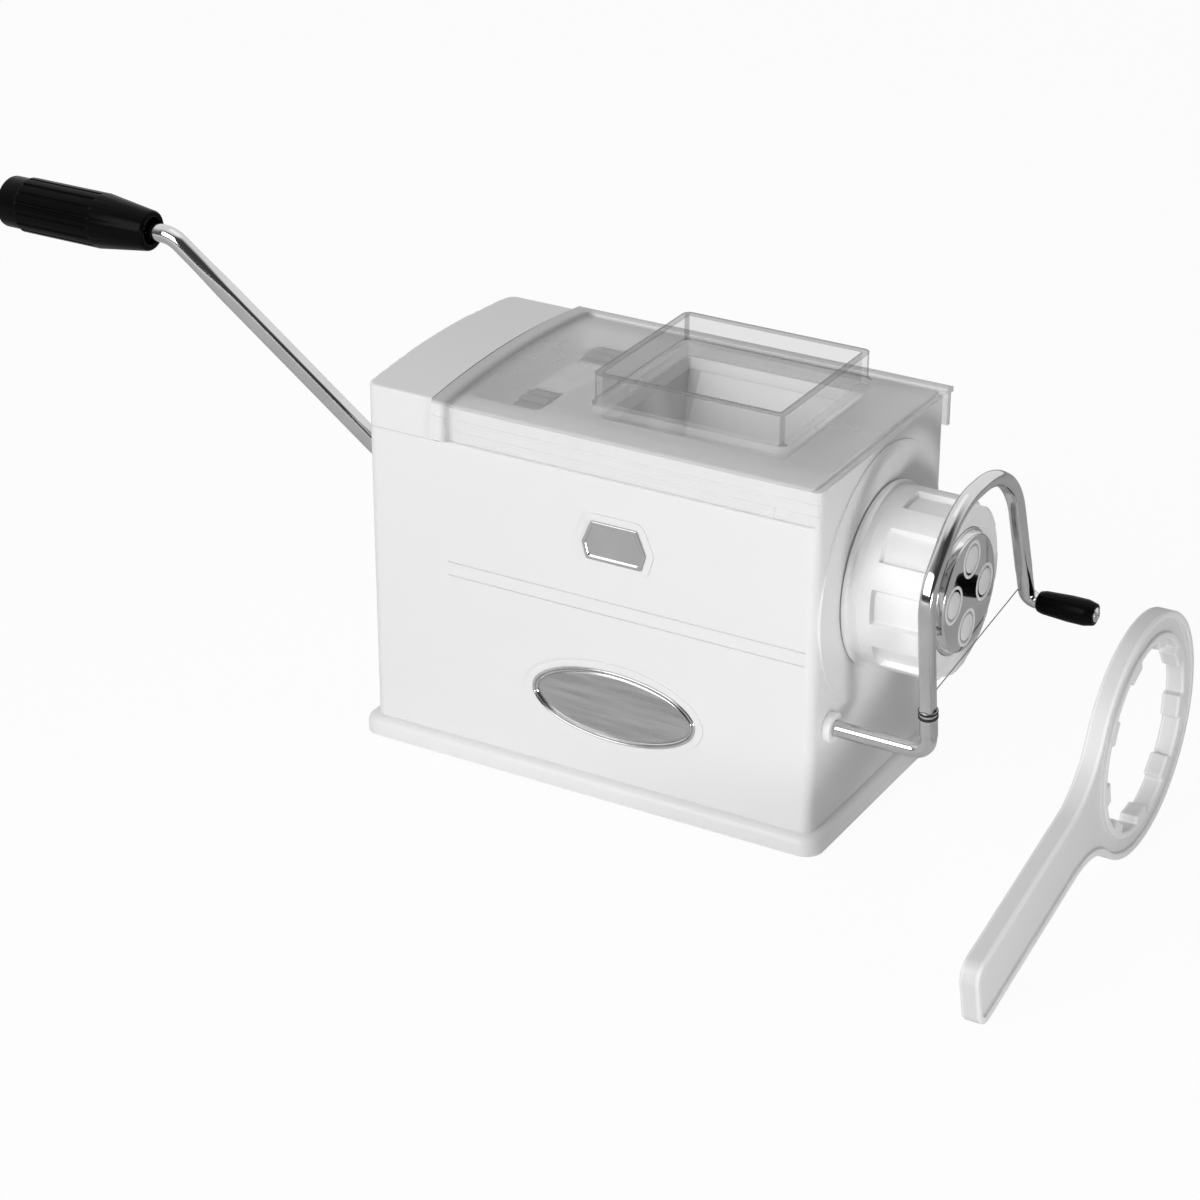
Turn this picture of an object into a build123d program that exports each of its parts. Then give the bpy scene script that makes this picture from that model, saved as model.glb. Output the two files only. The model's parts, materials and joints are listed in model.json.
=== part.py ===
from build123d import *
from math import asin, atan2, cos, degrees, hypot, pi, radians, sin, sqrt, tan
import os

# Hand-cranked extruder pasta machine with its wire cutter and its nut wrench.
# Millimetres. X runs along the body to the die, -Y is the long front face, Z is up.
# The origin is the centre of the body's footprint, on the table.

# Body
body_length = 228.0
body_depth = 125.0
body_radius = 5.0
wall = 3.2
gear_length = 38.8
wall_drop = 3.0
lid_shift = 3.5
lid_drop = 19.0
cap_drop = 20.0
lid_room = 3.5
skirt_rebate = 1.2
axis_height = 112.8
seat_gap = 0.3
fit_gap = 0.05
overrun = 2.0

# Base
base_height = 10.0
base_flare = 5.0
base_radius = 8.5
base_round = 4.5
base_lift = 1.2
base_floor = 3.0
foot_radius = 8.0
foot_height = 4.2
foot_inset = 15.0
tongue_height = 5.0
tongue_wall = 2.0
screw_post_radius = 4.5
screw_radius = 1.9
screw_length = 16.0
screw_head_radius = 3.6
screw_head_height = 2.4
screw_inset = 12.0

# Front face details
band_drop = 66.5
band_height = 7.4
band_relief = 0.8
badge_shift = 4.4
badge_drop = 30.3
badge_width = 32.3
badge_height = 18.7
badge_corner_shares = ((0.36, 0.5), (0.5, -0.07), (0.43, -0.5), (-0.43, -0.5), (-0.5, -0.07), (-0.36, 0.5))
badge_round = 1.2
badge_frame = 3.4
badge_relief = 0.8
badge_thickness = 1.6
oval_shift = 4.9
oval_rise = 37.4
oval_width = 84.0
oval_height = 35.6
oval_rim = 2.2
oval_border = 3.6
oval_relief = 0.7
oval_thickness = 2.2
oval_sink = 0.6
end_boss_radius = 60.0
end_boss_relief = 0.8

# Lid and cap
crown = 4.0
lid_thickness = 2.5
lid_front_lap = 1.3
lid_back_lap = 4.5
lid_end_lap = 1.4
skirt_thickness = 2.0
shoulder_round = 1.2
groove_depth = 0.7
groove_width = 1.6
groove_drops = (8.2, 13.6)
catch_width = 6.0
catch_inset = 17.6
catch_height = 5.0
catch_relief = 0.8
collar_gap = 67.2
collar_inset = 28.0
collar_depth = 85.2
collar_height = 19.8
collar_wall = 3.0
collar_radius = 3.5
collar_bore_radius = 1.0
collar_foot = 1.4
collar_foot_height = 2.2
cap_round = 1.6
cap_lip = 5.0
cap_lip_width = 30.0

# Hopper
deck_drop = 6.5
deck_thickness = 3.0
deck_rim = 5.0
deck_gap = 0.5
mouth_inset = 4.0
mouth_side = 3.6
basin_gap = 5.7
basin_length = 59.5
basin_depth = 104.0
basin_drop = 9.0
basin_slope = 9.0
throat_inset = 9.0
throat_setback = 27.0
throat_depth = 28.0
funnel_wall = 2.5
throat_rise = 14.0

# Drive
gear_module = 1.5
pinion_teeth = 22
roller_teeth = 38
pressure_angle = 20.0
tooth_backlash = 0.16
root_depth_share = 1.25
gear_plane_width = 10.0
gear_plane_gap = 1.0
gear_end_gap = 2.8
gear_hub_radius = 9.0
gear_web = 4.0
web_hole_radius = 5.25
web_holes = 6
plate_thickness = 3.0
plate_lift = 4.0
shaft_radius = 7.0
shaft_proud = 5.0
spigot_radius = 5.0
spigot_length = 12.0
bush_wall = 2.0
bush_flange = 2.0
bush_flange_thickness = 1.2
axle_radius = 4.0
washer_radius = 12.0
washer_thickness = 1.6

# Feed rollers
disc_radius = 26.4
disc_gap = 24.2
disc_width = 14.0
drum_radius = 20.6
drum_gap = 16.2
drum_length = 46.0
roller_clearance = 0.7
disc_teeth = 24
disc_groove_depth = 1.6
disc_groove_width = 2.4
chamber_wall = 1.5

# Auger and barrel
auger_radius = 17.9
auger_core = 7.5
auger_gap = 10.2
auger_reach = 9.0
auger_pitch = 27.0
flight_thickness = 3.4
flight_root_share = 0.8
barrel_bore = 18.6
barrel_wall = 3.5
barrel_gap = 12.2
barrel_flange_radius = 42.0
barrel_flange = 4.0
mouth_bore = 25.0
mouth_radius = 34.0
mouth_cone = 12.0
mouth_seat = 32.0

# Die, nozzles and ring nut, measured out from the end face
die_flange_radius = 33.4
die_flange = 4.0
die_radius = 28.6
die_rim_face = 39.6
die_wall_radius = 27.6
die_face_radius = 26.8
die_face = 43.0
die_round = 0.9
nozzles = 4
nozzle_circle = 16.1
nozzle_turn = -3.5
nozzle_radius = 8.8
nozzle_face = 43.2
nozzle_lip = 0.5
nozzle_bore = 7.2
core_radius = 6.1
spider_width = 1.8
spider_legs = 3
nut_face = 39.0
nut_back = 1.2
nut_flange_radius = 42.5
nut_flange = 3.6
nut_waist_radius = 40.2
nut_waist = 1.2
nut_radius = 41.0
nut_shoulder = 8.0
nut_front_radius = 39.3
nut_chamfer = 2.2
nut_pockets = 9
nut_pocket_angle = 22.0
nut_pocket_start = 15.0
nut_turned = 15.0
nut_floor_radius = 38.4
nut_bore_radius = 34.3
nut_lip_radius = 28.9

# Cutter: a wire bow on a rod that swings in the end face
cutter_y = -47.7
cutter_drop = 55.0
cutter_bush_radius = 6.9
cutter_bush_proud = 3.8
cutter_sleeve_radius = 5.5
cutter_bearing = 14.0
cutter_boss_radius = 8.5
rod_radius = 3.7
rod_bend = 8.0
bow_offset = 48.6
bow_height = 110.0
bow_corner_shares = ((-0.095, 0.724), (0.156, 1.003), (0.660, 1.006), (0.9155, 0.2838))
bow_radius_shares = (0.22, 0.362, 0.398)
socket_radius = 4.1
socket_top = 19.0
crimp_radius = 4.45
crimp_width = 1.2
crimp_gap = 1.25
wire_radius = 0.25
wire_gap = 0.1
wire_rise = 2.7
wire_high_shares = (0.9055, 0.324)
pin_radius = 2.6
knob_length = 27.5
knob_radius = 6.1
knob_neck_radius = 4.6
knob_swell_share = 0.88
knob_start = 5.4
knob_screw_radius = 3.6
knob_screw_height = 1.6

# Crank
crank_reach = 34.0
crank_throw = 97.0
crank_turned = 11.0
crank_rod_radius = 4.4
crank_bend = 13.0
crank_socket = 26.0
crank_arm_run = 110.0
grip_length = 85.0
grip_gap = 5.0
grip_radius = 13.4
grip_end_radius = 12.6
grip_nose_radius = 9.6
grip_nose_length = 28.0
grip_nose_recess = 4.0
grip_nose_bore = 6.6
grip_end_round = 4.0
grip_flutes = 16
grip_flute_width = 1.5
grip_flute_depth = 0.7
grip_cap_radius = 8.6
grip_cap_thickness = 2.4
keeper_radius = 7.0
keeper_thickness = 1.6

# Wrench for the ring nut, standing beside the machine
wrench_gap = 118.5
wrench_y = 17.0
wrench_thickness = 8.5
wrench_radius = 56.0
wrench_hole_radius = 43.4
wrench_tooth_radius = 39.6
wrench_tooth_angle = 15.0
wrench_length = 176.0
wrench_handle_width = 33.0
wrench_blend = 42.0
wrench_border = 3.0
wrench_recess = 2.0
wrench_tip_round = 8.0

# Worked out from the sizes above
left = -body_length / 2
right = body_length / 2
front = -body_depth / 2
back = body_depth / 2
seam_x = left + gear_length
lid_left = seam_x - lid_shift
mesh_distance = gear_module * (pinion_teeth + roller_teeth) / 2
roller_y = gear_module * roller_teeth / 2
roller_z = axis_height + sqrt(mesh_distance ** 2 - roller_y ** 2)
plate_right = seam_x
plate_left = seam_x - plate_thickness
back_plane_left = left + wall + gear_end_gap
front_plane_left = back_plane_left + gear_plane_width + gear_plane_gap
front_plane_right = front_plane_left + gear_plane_width
bow_x = right + bow_offset
wire_x = bow_x - rod_radius - wire_gap - wire_radius
wire_offset = sqrt((crimp_radius + wire_gap + wire_radius) ** 2 - (bow_x - wire_x) ** 2)
cutter_z = axis_height - cutter_drop
leg_lean_share = bow_corner_shares[0][0] / bow_corner_shares[0][1]
shoulder_height = roller_z + disc_radius + lid_room
wall_top = shoulder_height - wall_drop
lid_seam = shoulder_height - lid_drop
cap_seam = shoulder_height - cap_drop
deck_top = shoulder_height - deck_drop
collar_top = shoulder_height + collar_height
plate_bottom = base_height + plate_lift
plate_top = lid_seam
main_middle = (seam_x + right) / 2
badge_x = main_middle - badge_shift
badge_z = lid_seam - badge_drop
band_low = lid_seam - band_drop
oval_x = main_middle - oval_shift
oval_z = base_height + oval_rise
catch_x = right - catch_inset
collar_left = seam_x + collar_gap
collar_right = right - collar_inset
mouth_left = collar_left + mouth_inset
mouth_right = collar_right - mouth_inset
mouth_depth = collar_depth - 2 * mouth_side
throat_left = mouth_left + throat_inset
throat_right = mouth_right - throat_setback
basin_left = seam_x + basin_gap
basin_right = basin_left + basin_length
disc_left = seam_x + disc_gap
drum_left = seam_x + drum_gap
drum_right = drum_left + drum_length
barrel_left = seam_x + barrel_gap
auger_left = seam_x + auger_gap
auger_right = right + auger_reach
wrench_x = right + wrench_gap


def box(x0, x1, y0, y1, z0, z1):
    centre = ((x0 + x1) / 2, (y0 + y1) / 2, (z0 + z1) / 2)
    return Pos(*centre) * Box(x1 - x0, y1 - y0, z1 - z0)


def rod(x0, x1, radius, y=0, z=axis_height):
    return Pos((x0 + x1) / 2, y, z) * Rot(0, 90, 0) * Cylinder(radius, x1 - x0)


def tube(x0, x1, outer, inner, y=0, z=axis_height):
    return rod(x0, x1, outer, y, z) - rod(x0 - overrun, x1 + overrun, inner, y, z)


def slab(length, depth, radius, z0, z1):
    plate = Plane.XY.offset(z0) * RectangleRounded(length, depth, radius)
    return extrude(plate, z1 - z0)


def upright(shape, x=0, y=0, z=axis_height):
    """Stand a flat drawing in the YZ plane, its first axis along Y and its normal along X."""
    return Pos(x, y, z) * (Plane.YZ * shape)


def turned(points, y=0, z=axis_height):
    """Revolve a closed (x, radius) outline about an axis along X."""
    outline = make_face(Polyline(*[(x, r) for x, r in points], close=True))
    return Pos(0, y, z) * revolve(outline, Axis.X)


def around(shape, angle, y=0, z=axis_height):
    """Turn a shape about the axis along X through (y, z)."""
    return Pos(0, y, z) * Rot(angle, 0, 0) * Pos(0, -y, -z) * shape


def rounded_path(points, radii):
    """Straight runs joined by tangent arcs, one radius for each inner point."""
    stops = [Vector(*p) for p in points]
    edges = []
    start = stops[0]
    for corner, following, radius in zip(stops[1:-1], stops[2:], radii):
        back_way = (start - corner).normalized()
        on_way = (following - corner).normalized()
        half = radians(back_way.get_angle(on_way)) / 2
        run = radius / tan(half)
        bisector = (back_way + on_way).normalized()
        first = corner + back_way * run
        last = corner + on_way * run
        middle = corner + bisector * (radius / sin(half) - radius)
        edges.append(Line(start, first))
        edges.append(ThreePointArc(first, middle, last))
        start = last
    edges.append(Line(start, stops[-1]))
    return Wire(edges)


def swept(path, radius):
    section = Plane(origin=path @ 0, z_dir=path % 0) * Circle(radius)
    return sweep(section, path=path)


def arch_face(depth_front, depth_back, bottom, shoulder, rise):
    """The arched end outline of a lid or cap, in the YZ plane."""
    outline = [
        Line((depth_front, bottom), (depth_front, shoulder)),
        ThreePointArc((depth_front, shoulder), ((depth_front + depth_back) / 2, shoulder + rise),
                      (depth_back, shoulder)),
        Line((depth_back, shoulder), (depth_back, bottom)),
        Line((depth_back, bottom), (depth_front, bottom)),
    ]
    return Plane.YZ * make_face(outline)


def arch_block(x0, x1, depth_front, depth_back, bottom, shoulder, rise):
    face = arch_face(depth_front, depth_back, bottom, shoulder, rise)
    return extrude(Pos(x0, 0, 0) * face, x1 - x0, dir=(1, 0, 0))


# Base

def screw_places():
    x = right - screw_inset
    y = back - screw_inset
    middle = main_middle
    return [(left + screw_inset, -y), (left + screw_inset, y), (middle, -y), (middle, y), (x, -y), (x, y)]


def foot_places():
    """One under each corner and one in the middle."""
    x = right - foot_inset * 2
    y = back - foot_inset
    return [(0, 0)] + [(sx * x, sy * y) for sx in (-1, 1) for sy in (-1, 1)]


def base_tray():
    length = body_length + 2 * base_flare
    depth = body_depth + 2 * base_flare
    tray = slab(length, depth, base_radius, base_lift, base_height)
    rim = tray.edges().group_by(Axis.Z)[-1]
    tray = fillet(rim, base_round)
    hollow_radius = base_radius - wall
    tray -= slab(length - 2 * wall, depth - 2 * wall, hollow_radius, 0, base_height - base_floor)
    inner_length = body_length - 2 * wall - 2 * seat_gap
    inner_depth = body_depth - 2 * wall - 2 * seat_gap
    tongue = slab(inner_length, inner_depth, body_radius - wall, base_height - base_floor,
                  base_height + tongue_height)
    tongue -= slab(inner_length - 2 * tongue_wall, inner_depth - 2 * tongue_wall,
                   (body_radius - wall) / 2, 0, base_height + tongue_height + overrun)
    tray += tongue
    for x in (seam_x, main_middle - foot_inset):
        tray += box(x - tongue_wall / 2, x + tongue_wall / 2, front + wall, back - wall,
                    base_lift + foot_height, base_height - base_floor / 2)
    for x, y in foot_places():
        top = base_lift + foot_height
        tray += Pos(x, y, 0) * slab_disc(foot_radius + tongue_wall, base_lift, base_height - base_floor / 2)
        tray -= Pos(x, y, 0) * slab_disc(foot_radius + fit_gap, 0, top)
    for x, y in screw_places():
        tray += Pos(x, y, 0) * slab_disc(screw_post_radius + tongue_wall, base_lift * 2, base_height)
        tray -= Pos(x, y, 0) * slab_disc(screw_radius + fit_gap, 0, base_height + overrun)
        tray -= Pos(x, y, 0) * slab_disc(screw_head_radius + fit_gap, 0, screw_head_top())
    return tray


def slab_disc(radius, z0, z1):
    return Pos(0, 0, (z0 + z1) / 2) * Cylinder(radius, z1 - z0)


def screw_head_top():
    return base_height - base_floor


def rubber_feet():
    return [Pos(x, y, 0) * slab_disc(foot_radius, 0, base_lift + foot_height) for x, y in foot_places()]


def base_screws():
    screws = []
    top = screw_head_top()
    for x, y in screw_places():
        screw = slab_disc(screw_head_radius, top - screw_head_height, top)
        screw += slab_disc(screw_radius, top - screw_head_height / 2, top + screw_length)
        slot_half = screw_radius / 4
        screw -= box(-screw_head_radius, screw_head_radius, -slot_half, slot_half,
                     0, top - screw_head_height / 2)
        screws.append(Pos(x, y, 0) * screw)
    return screws


# Housings

def body_shell(x0, x1, top):
    outer = slab(body_length, body_depth, body_radius, base_height, top)
    inner = slab(body_length - 2 * wall, body_depth - 2 * wall, body_radius - wall,
                 base_height - overrun, top + overrun)
    cut = box(x0, x1, front - overrun, back + overrun, 0, top + overrun)
    return (outer - inner) & cut


def screw_posts(x0, x1):
    posts = Part()
    top = screw_head_top() + screw_length + wall
    for x, y in screw_places():
        if x0 < x < x1:
            side = 1 if y > 0 else -1
            post = Pos(x, y, 0) * slab_disc(screw_post_radius, base_height, top)
            web_y = sorted((y, side * (back - wall / 2)))
            web_low = base_height + tongue_height + seat_gap
            post += box(x - tongue_wall / 2, x + tongue_wall / 2, *web_y, web_low, top)
            post -= Pos(x, y, 0) * slab_disc(screw_radius + fit_gap, 0, top - wall)
            posts += post
    return posts


def badge_face(grow):
    corners = [(across * badge_width, up * badge_height) for across, up in badge_corner_shares]
    plate = make_face(Polyline(*corners, close=True))
    shape = offset(plate, grow, kind=Kind.INTERSECTION)
    shape = fillet(shape.vertices(), badge_round + max(grow, 0))
    return Pos(badge_x, front, badge_z) * Rot(90, 0, 0) * shape


def oval_face(grow):
    shape = Ellipse(oval_width / 2 + grow, oval_height / 2 + grow)
    return Pos(oval_x, front, oval_z) * Rot(90, 0, 0) * shape


def main_housing():
    shell = body_shell(seam_x, right, wall_top)
    for side in (front, back):
        y0, y1 = sorted((side + skirt_rebate * (1 if side < 0 else -1), side * 2))
        shell -= box(seam_x - overrun, right + overrun, y0, y1, lid_seam, shoulder_height)
    shell += screw_posts(seam_x, right)
    shell += rod(right - wall / 2, right + end_boss_relief, end_boss_radius)
    shell += rod(right - cutter_bearing + wall, right - wall / 2, cutter_boss_radius, cutter_y, cutter_z)
    shell -= rod(right - cutter_bearing - overrun, right + overrun, cutter_sleeve_radius + fit_gap,
                 cutter_y, cutter_z)
    shell -= rod(right - wall - overrun, right + overrun, mouth_radius + seat_gap)
    shell -= box(seam_x + wall, right - body_radius, front - overrun, front + band_relief,
                 band_low, band_low + band_height)
    shell += box(seam_x + wall, right - body_radius, front, front + wall / 2,
                 band_low + band_relief, band_low + band_height - band_relief)
    shell += extrude(badge_face(badge_frame), badge_relief)
    shell -= extrude(badge_face(fit_gap), badge_thickness, both=True)
    shell += extrude(oval_face(oval_border), oval_relief)
    shell -= extrude(oval_face(fit_gap), oval_thickness, both=True)
    return shell


def gear_housing():
    shell = body_shell(left, seam_x, cap_seam - seat_gap / 2)
    shell += screw_posts(left, seam_x)
    inner = left + wall
    shell += rod(inner - wall / 2, inner + gear_end_gap - bush_flange_thickness - seat_gap,
                 shaft_radius + 2 * bush_wall + tongue_wall)
    shell -= rod(left - overrun, inner + gear_end_gap, shaft_radius + bush_wall + fit_gap)
    boss_radius = axle_radius + 2 * tongue_wall
    for y in (-roller_y, roller_y):
        shell += rod(inner - wall / 2, inner + gear_end_gap - seat_gap, boss_radius, y, roller_z)
        shell -= rod(inner - wall / 2, inner + gear_end_gap, axle_radius + fit_gap, y, roller_z)
    return shell


def gear_cap():
    x1 = lid_left - seat_gap
    block = arch_block(left, right, front, back, cap_seam, shoulder_height, crown)
    block &= slab(body_length, body_depth, body_radius, 0, shoulder_height * 2)
    block &= box(left - overrun, x1, front * 2, back * 2, 0, shoulder_height * 2)
    block = fillet(block.edges().filter_by(lambda e: top_edge(e, x1)), cap_round)
    block -= arch_block(left + lid_thickness, x1 - lid_thickness, front + lid_thickness,
                        back - lid_thickness, 0, shoulder_height - lid_thickness, crown)
    block -= box(x1 - lid_thickness - overrun, x1 + overrun, front + lid_thickness, back - lid_thickness,
                 0, plate_top + seat_gap)
    lip_left = left + wall + seat_gap
    block += box(left + lid_thickness / 2, lip_left + tongue_wall, -cap_lip_width / 2, cap_lip_width / 2,
                 cap_seam, cap_seam + tongue_wall)
    return block + box(lip_left, lip_left + tongue_wall, -cap_lip_width / 2, cap_lip_width / 2,
                       cap_seam - cap_lip, cap_seam + tongue_wall)


def top_edge(edge, x1):
    centre = edge.center()
    return centre.Z > shoulder_height - seat_gap and centre.X < x1 - seat_gap


# Lid

def lid():
    x0 = lid_left + seat_gap
    x1 = right + lid_end_lap
    y0 = front - lid_front_lap
    y1 = back + lid_back_lap
    plate = arch_block(x0, x1, y0, y1, lid_seam, shoulder_height, crown)
    shoulder = plate.edges().filter_by(Axis.X).group_by(Axis.Z)[-1]
    plate = fillet(shoulder, shoulder_round)
    plate -= arch_block(x0 - overrun, x1 + overrun, y0 + skirt_thickness, y1 - skirt_thickness,
                        0, shoulder_height - lid_thickness, crown)
    plate -= box(right + seat_gap, x1 + overrun, y0 - overrun, y1 + overrun, 0, wall_top + seat_gap)
    for drop in groove_drops:
        z = shoulder_height - drop
        plate -= box(x0 + catch_width, x1 + overrun, y0 - overrun, y0 + groove_depth, z - groove_width / 2,
                     z + groove_width / 2)
    plate += box(x0, x0 + 2 * catch_width, y0 - groove_depth / 2, y0 + skirt_thickness / 2,
                 lid_seam, lid_seam + 2 * catch_width)
    plate += box(catch_x - catch_width / 2, catch_x + catch_width / 2, y0 - catch_relief,
                 y0 + skirt_thickness / 2, lid_seam + groove_width, lid_seam + groove_width + catch_height)
    length = collar_right - collar_left
    place = Pos((collar_left + collar_right) / 2, 0, 0)
    low = shoulder_height - lid_thickness
    collar = place * slab(length, collar_depth, collar_radius, shoulder_height, collar_top)
    foot_top = shoulder_height + crown + collar_foot_height
    collar += place * slab(length + 2 * collar_foot, collar_depth + 2 * collar_foot,
                           collar_radius + collar_foot, shoulder_height, foot_top)
    plate += collar
    plate -= place * slab(length - 2 * collar_wall, collar_depth - 2 * collar_wall,
                          collar_bore_radius, low - overrun * 2, collar_top + overrun)
    return plate


# Hopper

def roller_space(x0, x1, radius):
    space = Part()
    for y in (-roller_y, roller_y):
        space += rod(x0, x1, radius, y, roller_z)
    return space


def funnel(grow, low, high):
    mouth = Pos((mouth_left + mouth_right) / 2, 0, high) * Rectangle(
        mouth_right - mouth_left + 2 * grow, mouth_depth + 2 * grow)
    throat = Pos((throat_left + throat_right) / 2, 0, low) * Rectangle(
        throat_right - throat_left + 2 * grow, throat_depth + 2 * grow)
    return loft([throat, mouth])


def basin(grow, low, high):
    """The sloping tray round the tops of the roller discs."""
    middle = (basin_left + basin_right) / 2
    length = basin_right - basin_left + 2 * grow
    depth = basin_depth + 2 * grow
    top = Pos(middle, 0, high) * Rectangle(length, depth)
    bottom = Pos(middle, 0, low) * Rectangle(length - 2 * basin_slope, depth - 2 * basin_slope)
    return loft([bottom, top])


def hopper():
    x0 = seam_x + deck_gap
    x1 = right - wall - deck_gap
    y1 = back - wall - deck_gap
    low = axis_height + throat_rise
    deck_low = deck_top - deck_thickness
    part = box(x0, x1, -y1, y1, deck_low, wall_top)
    part -= box(x0 + deck_rim, x1 - deck_rim, -y1 + deck_rim, y1 - deck_rim, deck_top, wall_top + overrun)
    part += basin(funnel_wall, deck_top - basin_drop - deck_thickness, deck_top)
    part -= basin(0, deck_top - basin_drop, deck_top + seat_gap / 4)
    part += funnel(funnel_wall, low, deck_top)
    part -= funnel(0, low - seat_gap / 4, deck_top + seat_gap / 4)
    chamber_x0 = drum_left - chamber_wall - seat_gap
    chamber_x1 = drum_right + roller_clearance + chamber_wall
    chamber_low = roller_z - disc_radius - roller_clearance
    part += box(chamber_x0, chamber_x1, -y1, y1, chamber_low, deck_low + deck_thickness / 2)
    part -= box(drum_left - seat_gap, drum_right + roller_clearance, -throat_depth / 2, throat_depth / 2,
                chamber_low - overrun, roller_z)
    part -= roller_space(drum_left - seat_gap, drum_right + roller_clearance, drum_radius + roller_clearance)
    part -= roller_space(disc_left - roller_clearance, disc_left + disc_width + roller_clearance,
                         disc_radius + roller_clearance)
    part -= roller_space(chamber_x0 - overrun, drum_right + roller_clearance, axle_radius + 2 * seat_gap)
    part -= roller_space(drum_right, chamber_x1 + overrun, axle_radius + fit_gap)
    part -= rod(chamber_x0 - overrun, mouth_right, barrel_bore + barrel_wall + seat_gap / 2)
    return part & slab(body_length - 2 * (wall + deck_gap), 2 * y1, body_radius - wall, 0, shoulder_height)


# Auger, barrel and drive

def barrel():
    tube_right = right + mouth_seat
    outer = barrel_bore + barrel_wall
    flange_left = right - wall - barrel_flange - seat_gap / 3
    part = rod(barrel_left, tube_right - mouth_cone, outer)
    part += rod(flange_left, flange_left + barrel_flange, barrel_flange_radius)
    part += rod(flange_left, tube_right, mouth_radius)
    part -= rod(barrel_left - overrun, tube_right + overrun, barrel_bore)
    cone_left = tube_right - 2 * mouth_cone
    part -= turned([(cone_left, 0), (cone_left, barrel_bore), (tube_right - mouth_cone, mouth_bore),
                    (tube_right + overrun, mouth_bore), (tube_right + overrun, 0)])
    top = axis_height + outer + overrun
    part -= box(drum_left, drum_right, -throat_depth / 2, throat_depth / 2, axis_height, top)
    part -= box(throat_left, throat_right, -throat_depth / 2, throat_depth / 2, axis_height, top)
    part -= roller_space(disc_left - roller_clearance, disc_left + disc_width + roller_clearance,
                         disc_radius + roller_clearance)
    return part


def auger_screw():
    length = auger_right - auger_left
    flight_length = length - 2 * flight_thickness
    core = turned([(0, 0), (0, auger_core), (length - auger_core, auger_core),
                   (length, auger_core / 2), (length, 0)], 0, 0)
    core -= rod(-overrun, spigot_length + seat_gap, spigot_radius + fit_gap, 0, 0)
    inner = flight_root_share * auger_core
    height = auger_radius - inner
    path = Helix(auger_pitch, flight_length, inner + height / 2)
    blade = Plane(origin=path @ 0, x_dir=(1, 0, 0), z_dir=path % 0) * Rectangle(height, flight_thickness)
    flight = sweep(blade, path=path, is_frenet=True)
    screw = core + Pos(flight_thickness, 0, 0) * Rot(0, 90, 0) * flight
    return Pos(auger_left, 0, axis_height) * screw


def involute(base, radius):
    """Roll-off angle of an involute at a radius, in radians."""
    angle = sqrt(max((radius / base) ** 2 - 1, 0))
    return angle - atan2(angle, 1)


def gear_outline(teeth):
    pitch = gear_module * teeth / 2
    base = pitch * cos(radians(pressure_angle))
    tip = pitch + gear_module
    root = pitch - root_depth_share * gear_module
    half = pi / (2 * teeth) - tooth_backlash / (2 * pitch)
    points = []
    for tooth in range(teeth):
        centre = 2 * pi * tooth / teeth
        flank = []
        for radius in (max(base, root), pitch, tip):
            flank.append((radius, half + involute(base, pitch) - involute(base, radius)))
        flank.insert(0, (root, flank[0][1]))
        for radius, angle in flank:
            points.append((radius * cos(centre - angle), radius * sin(centre - angle)))
        for radius, angle in reversed(flank):
            points.append((radius * cos(centre + angle), radius * sin(centre + angle)))
    return make_face(Polyline(*points, close=True))


def spur_gear(teeth, x0, x1, bore, hub_right, turn, y, z, webbed):
    face = Rot(0, 0, turn) * gear_outline(teeth)
    gear = extrude(face, x1 - x0)
    root = gear_module * (teeth / 2 - 2 * root_depth_share)
    web_low = (x1 - x0) / 2 - gear_web / 2
    if webbed:
        for low in (-overrun, web_low + gear_web):
            ring = Circle(root - gear_module) - Circle(gear_hub_radius)
            gear -= Pos(0, 0, low) * extrude(ring, web_low + overrun)
        middle = (root - gear_module + gear_hub_radius) / 2
        for hole in PolarLocations(middle, web_holes):
            gear -= hole * Cylinder(web_hole_radius, 4 * (x1 - x0))
    gear = upright(gear, x0, y, z)
    gear += rod(x1 - overrun, hub_right, gear_hub_radius, y, z)
    return gear - rod(x0 - overrun, hub_right + overrun, bore, y, z)


def line_angle(y0, z0, y1, z1):
    return degrees(atan2(z1 - z0, y1 - y0))


def drive_gears():
    down = line_angle(-roller_y, roller_z, 0, axis_height)
    pinion_turn = down + 180
    tooth = 360 / roller_teeth
    front_turn = down + tooth / 2
    front_phase = -front_turn % tooth
    back_turn = 180 + front_phase - tooth / 2
    bush_left = plate_left - bush_flange_thickness - seat_gap
    back_plane_right = back_plane_left + gear_plane_width
    shaft_bore = shaft_radius + fit_gap
    axle_bore = axle_radius + fit_gap
    return {
        "drive_pinion": spur_gear(pinion_teeth, front_plane_left, front_plane_right, shaft_bore,
                                  bush_left, pinion_turn, 0, axis_height, False),
        "roller_gear_front": spur_gear(roller_teeth, back_plane_left, front_plane_right, axle_bore,
                                       bush_left, front_turn, -roller_y, roller_z, True),
        "roller_gear_back": spur_gear(roller_teeth, back_plane_left, back_plane_right, axle_bore,
                                      bush_left, back_turn, roller_y, roller_z, True),
    }


def drive_shaft():
    start = left - shaft_proud
    shaft = rod(start, auger_left, shaft_radius)
    shaft += rod(auger_left - overrun, auger_left + spigot_length, spigot_radius)
    return shaft - rod(start - overrun, start + crank_socket, crank_rod_radius + fit_gap)


def shaft_bushes():
    inner = left + wall
    outer = shaft_radius + bush_wall
    flange_face = inner + gear_end_gap - bush_flange_thickness
    flange_left = flange_face - seat_gap
    end_bush = rod(left, flange_face, outer)
    end_bush += rod(flange_left, flange_left + bush_flange_thickness, outer + bush_flange)
    plate_bush = rod(plate_left - bush_flange_thickness, plate_right, outer)
    plate_bush += rod(plate_left - bush_flange_thickness, plate_left, outer + bush_flange)
    bore = rod(left - overrun, plate_right + overrun, shaft_radius + fit_gap)
    return [end_bush - bore, plate_bush - bore]


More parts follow.
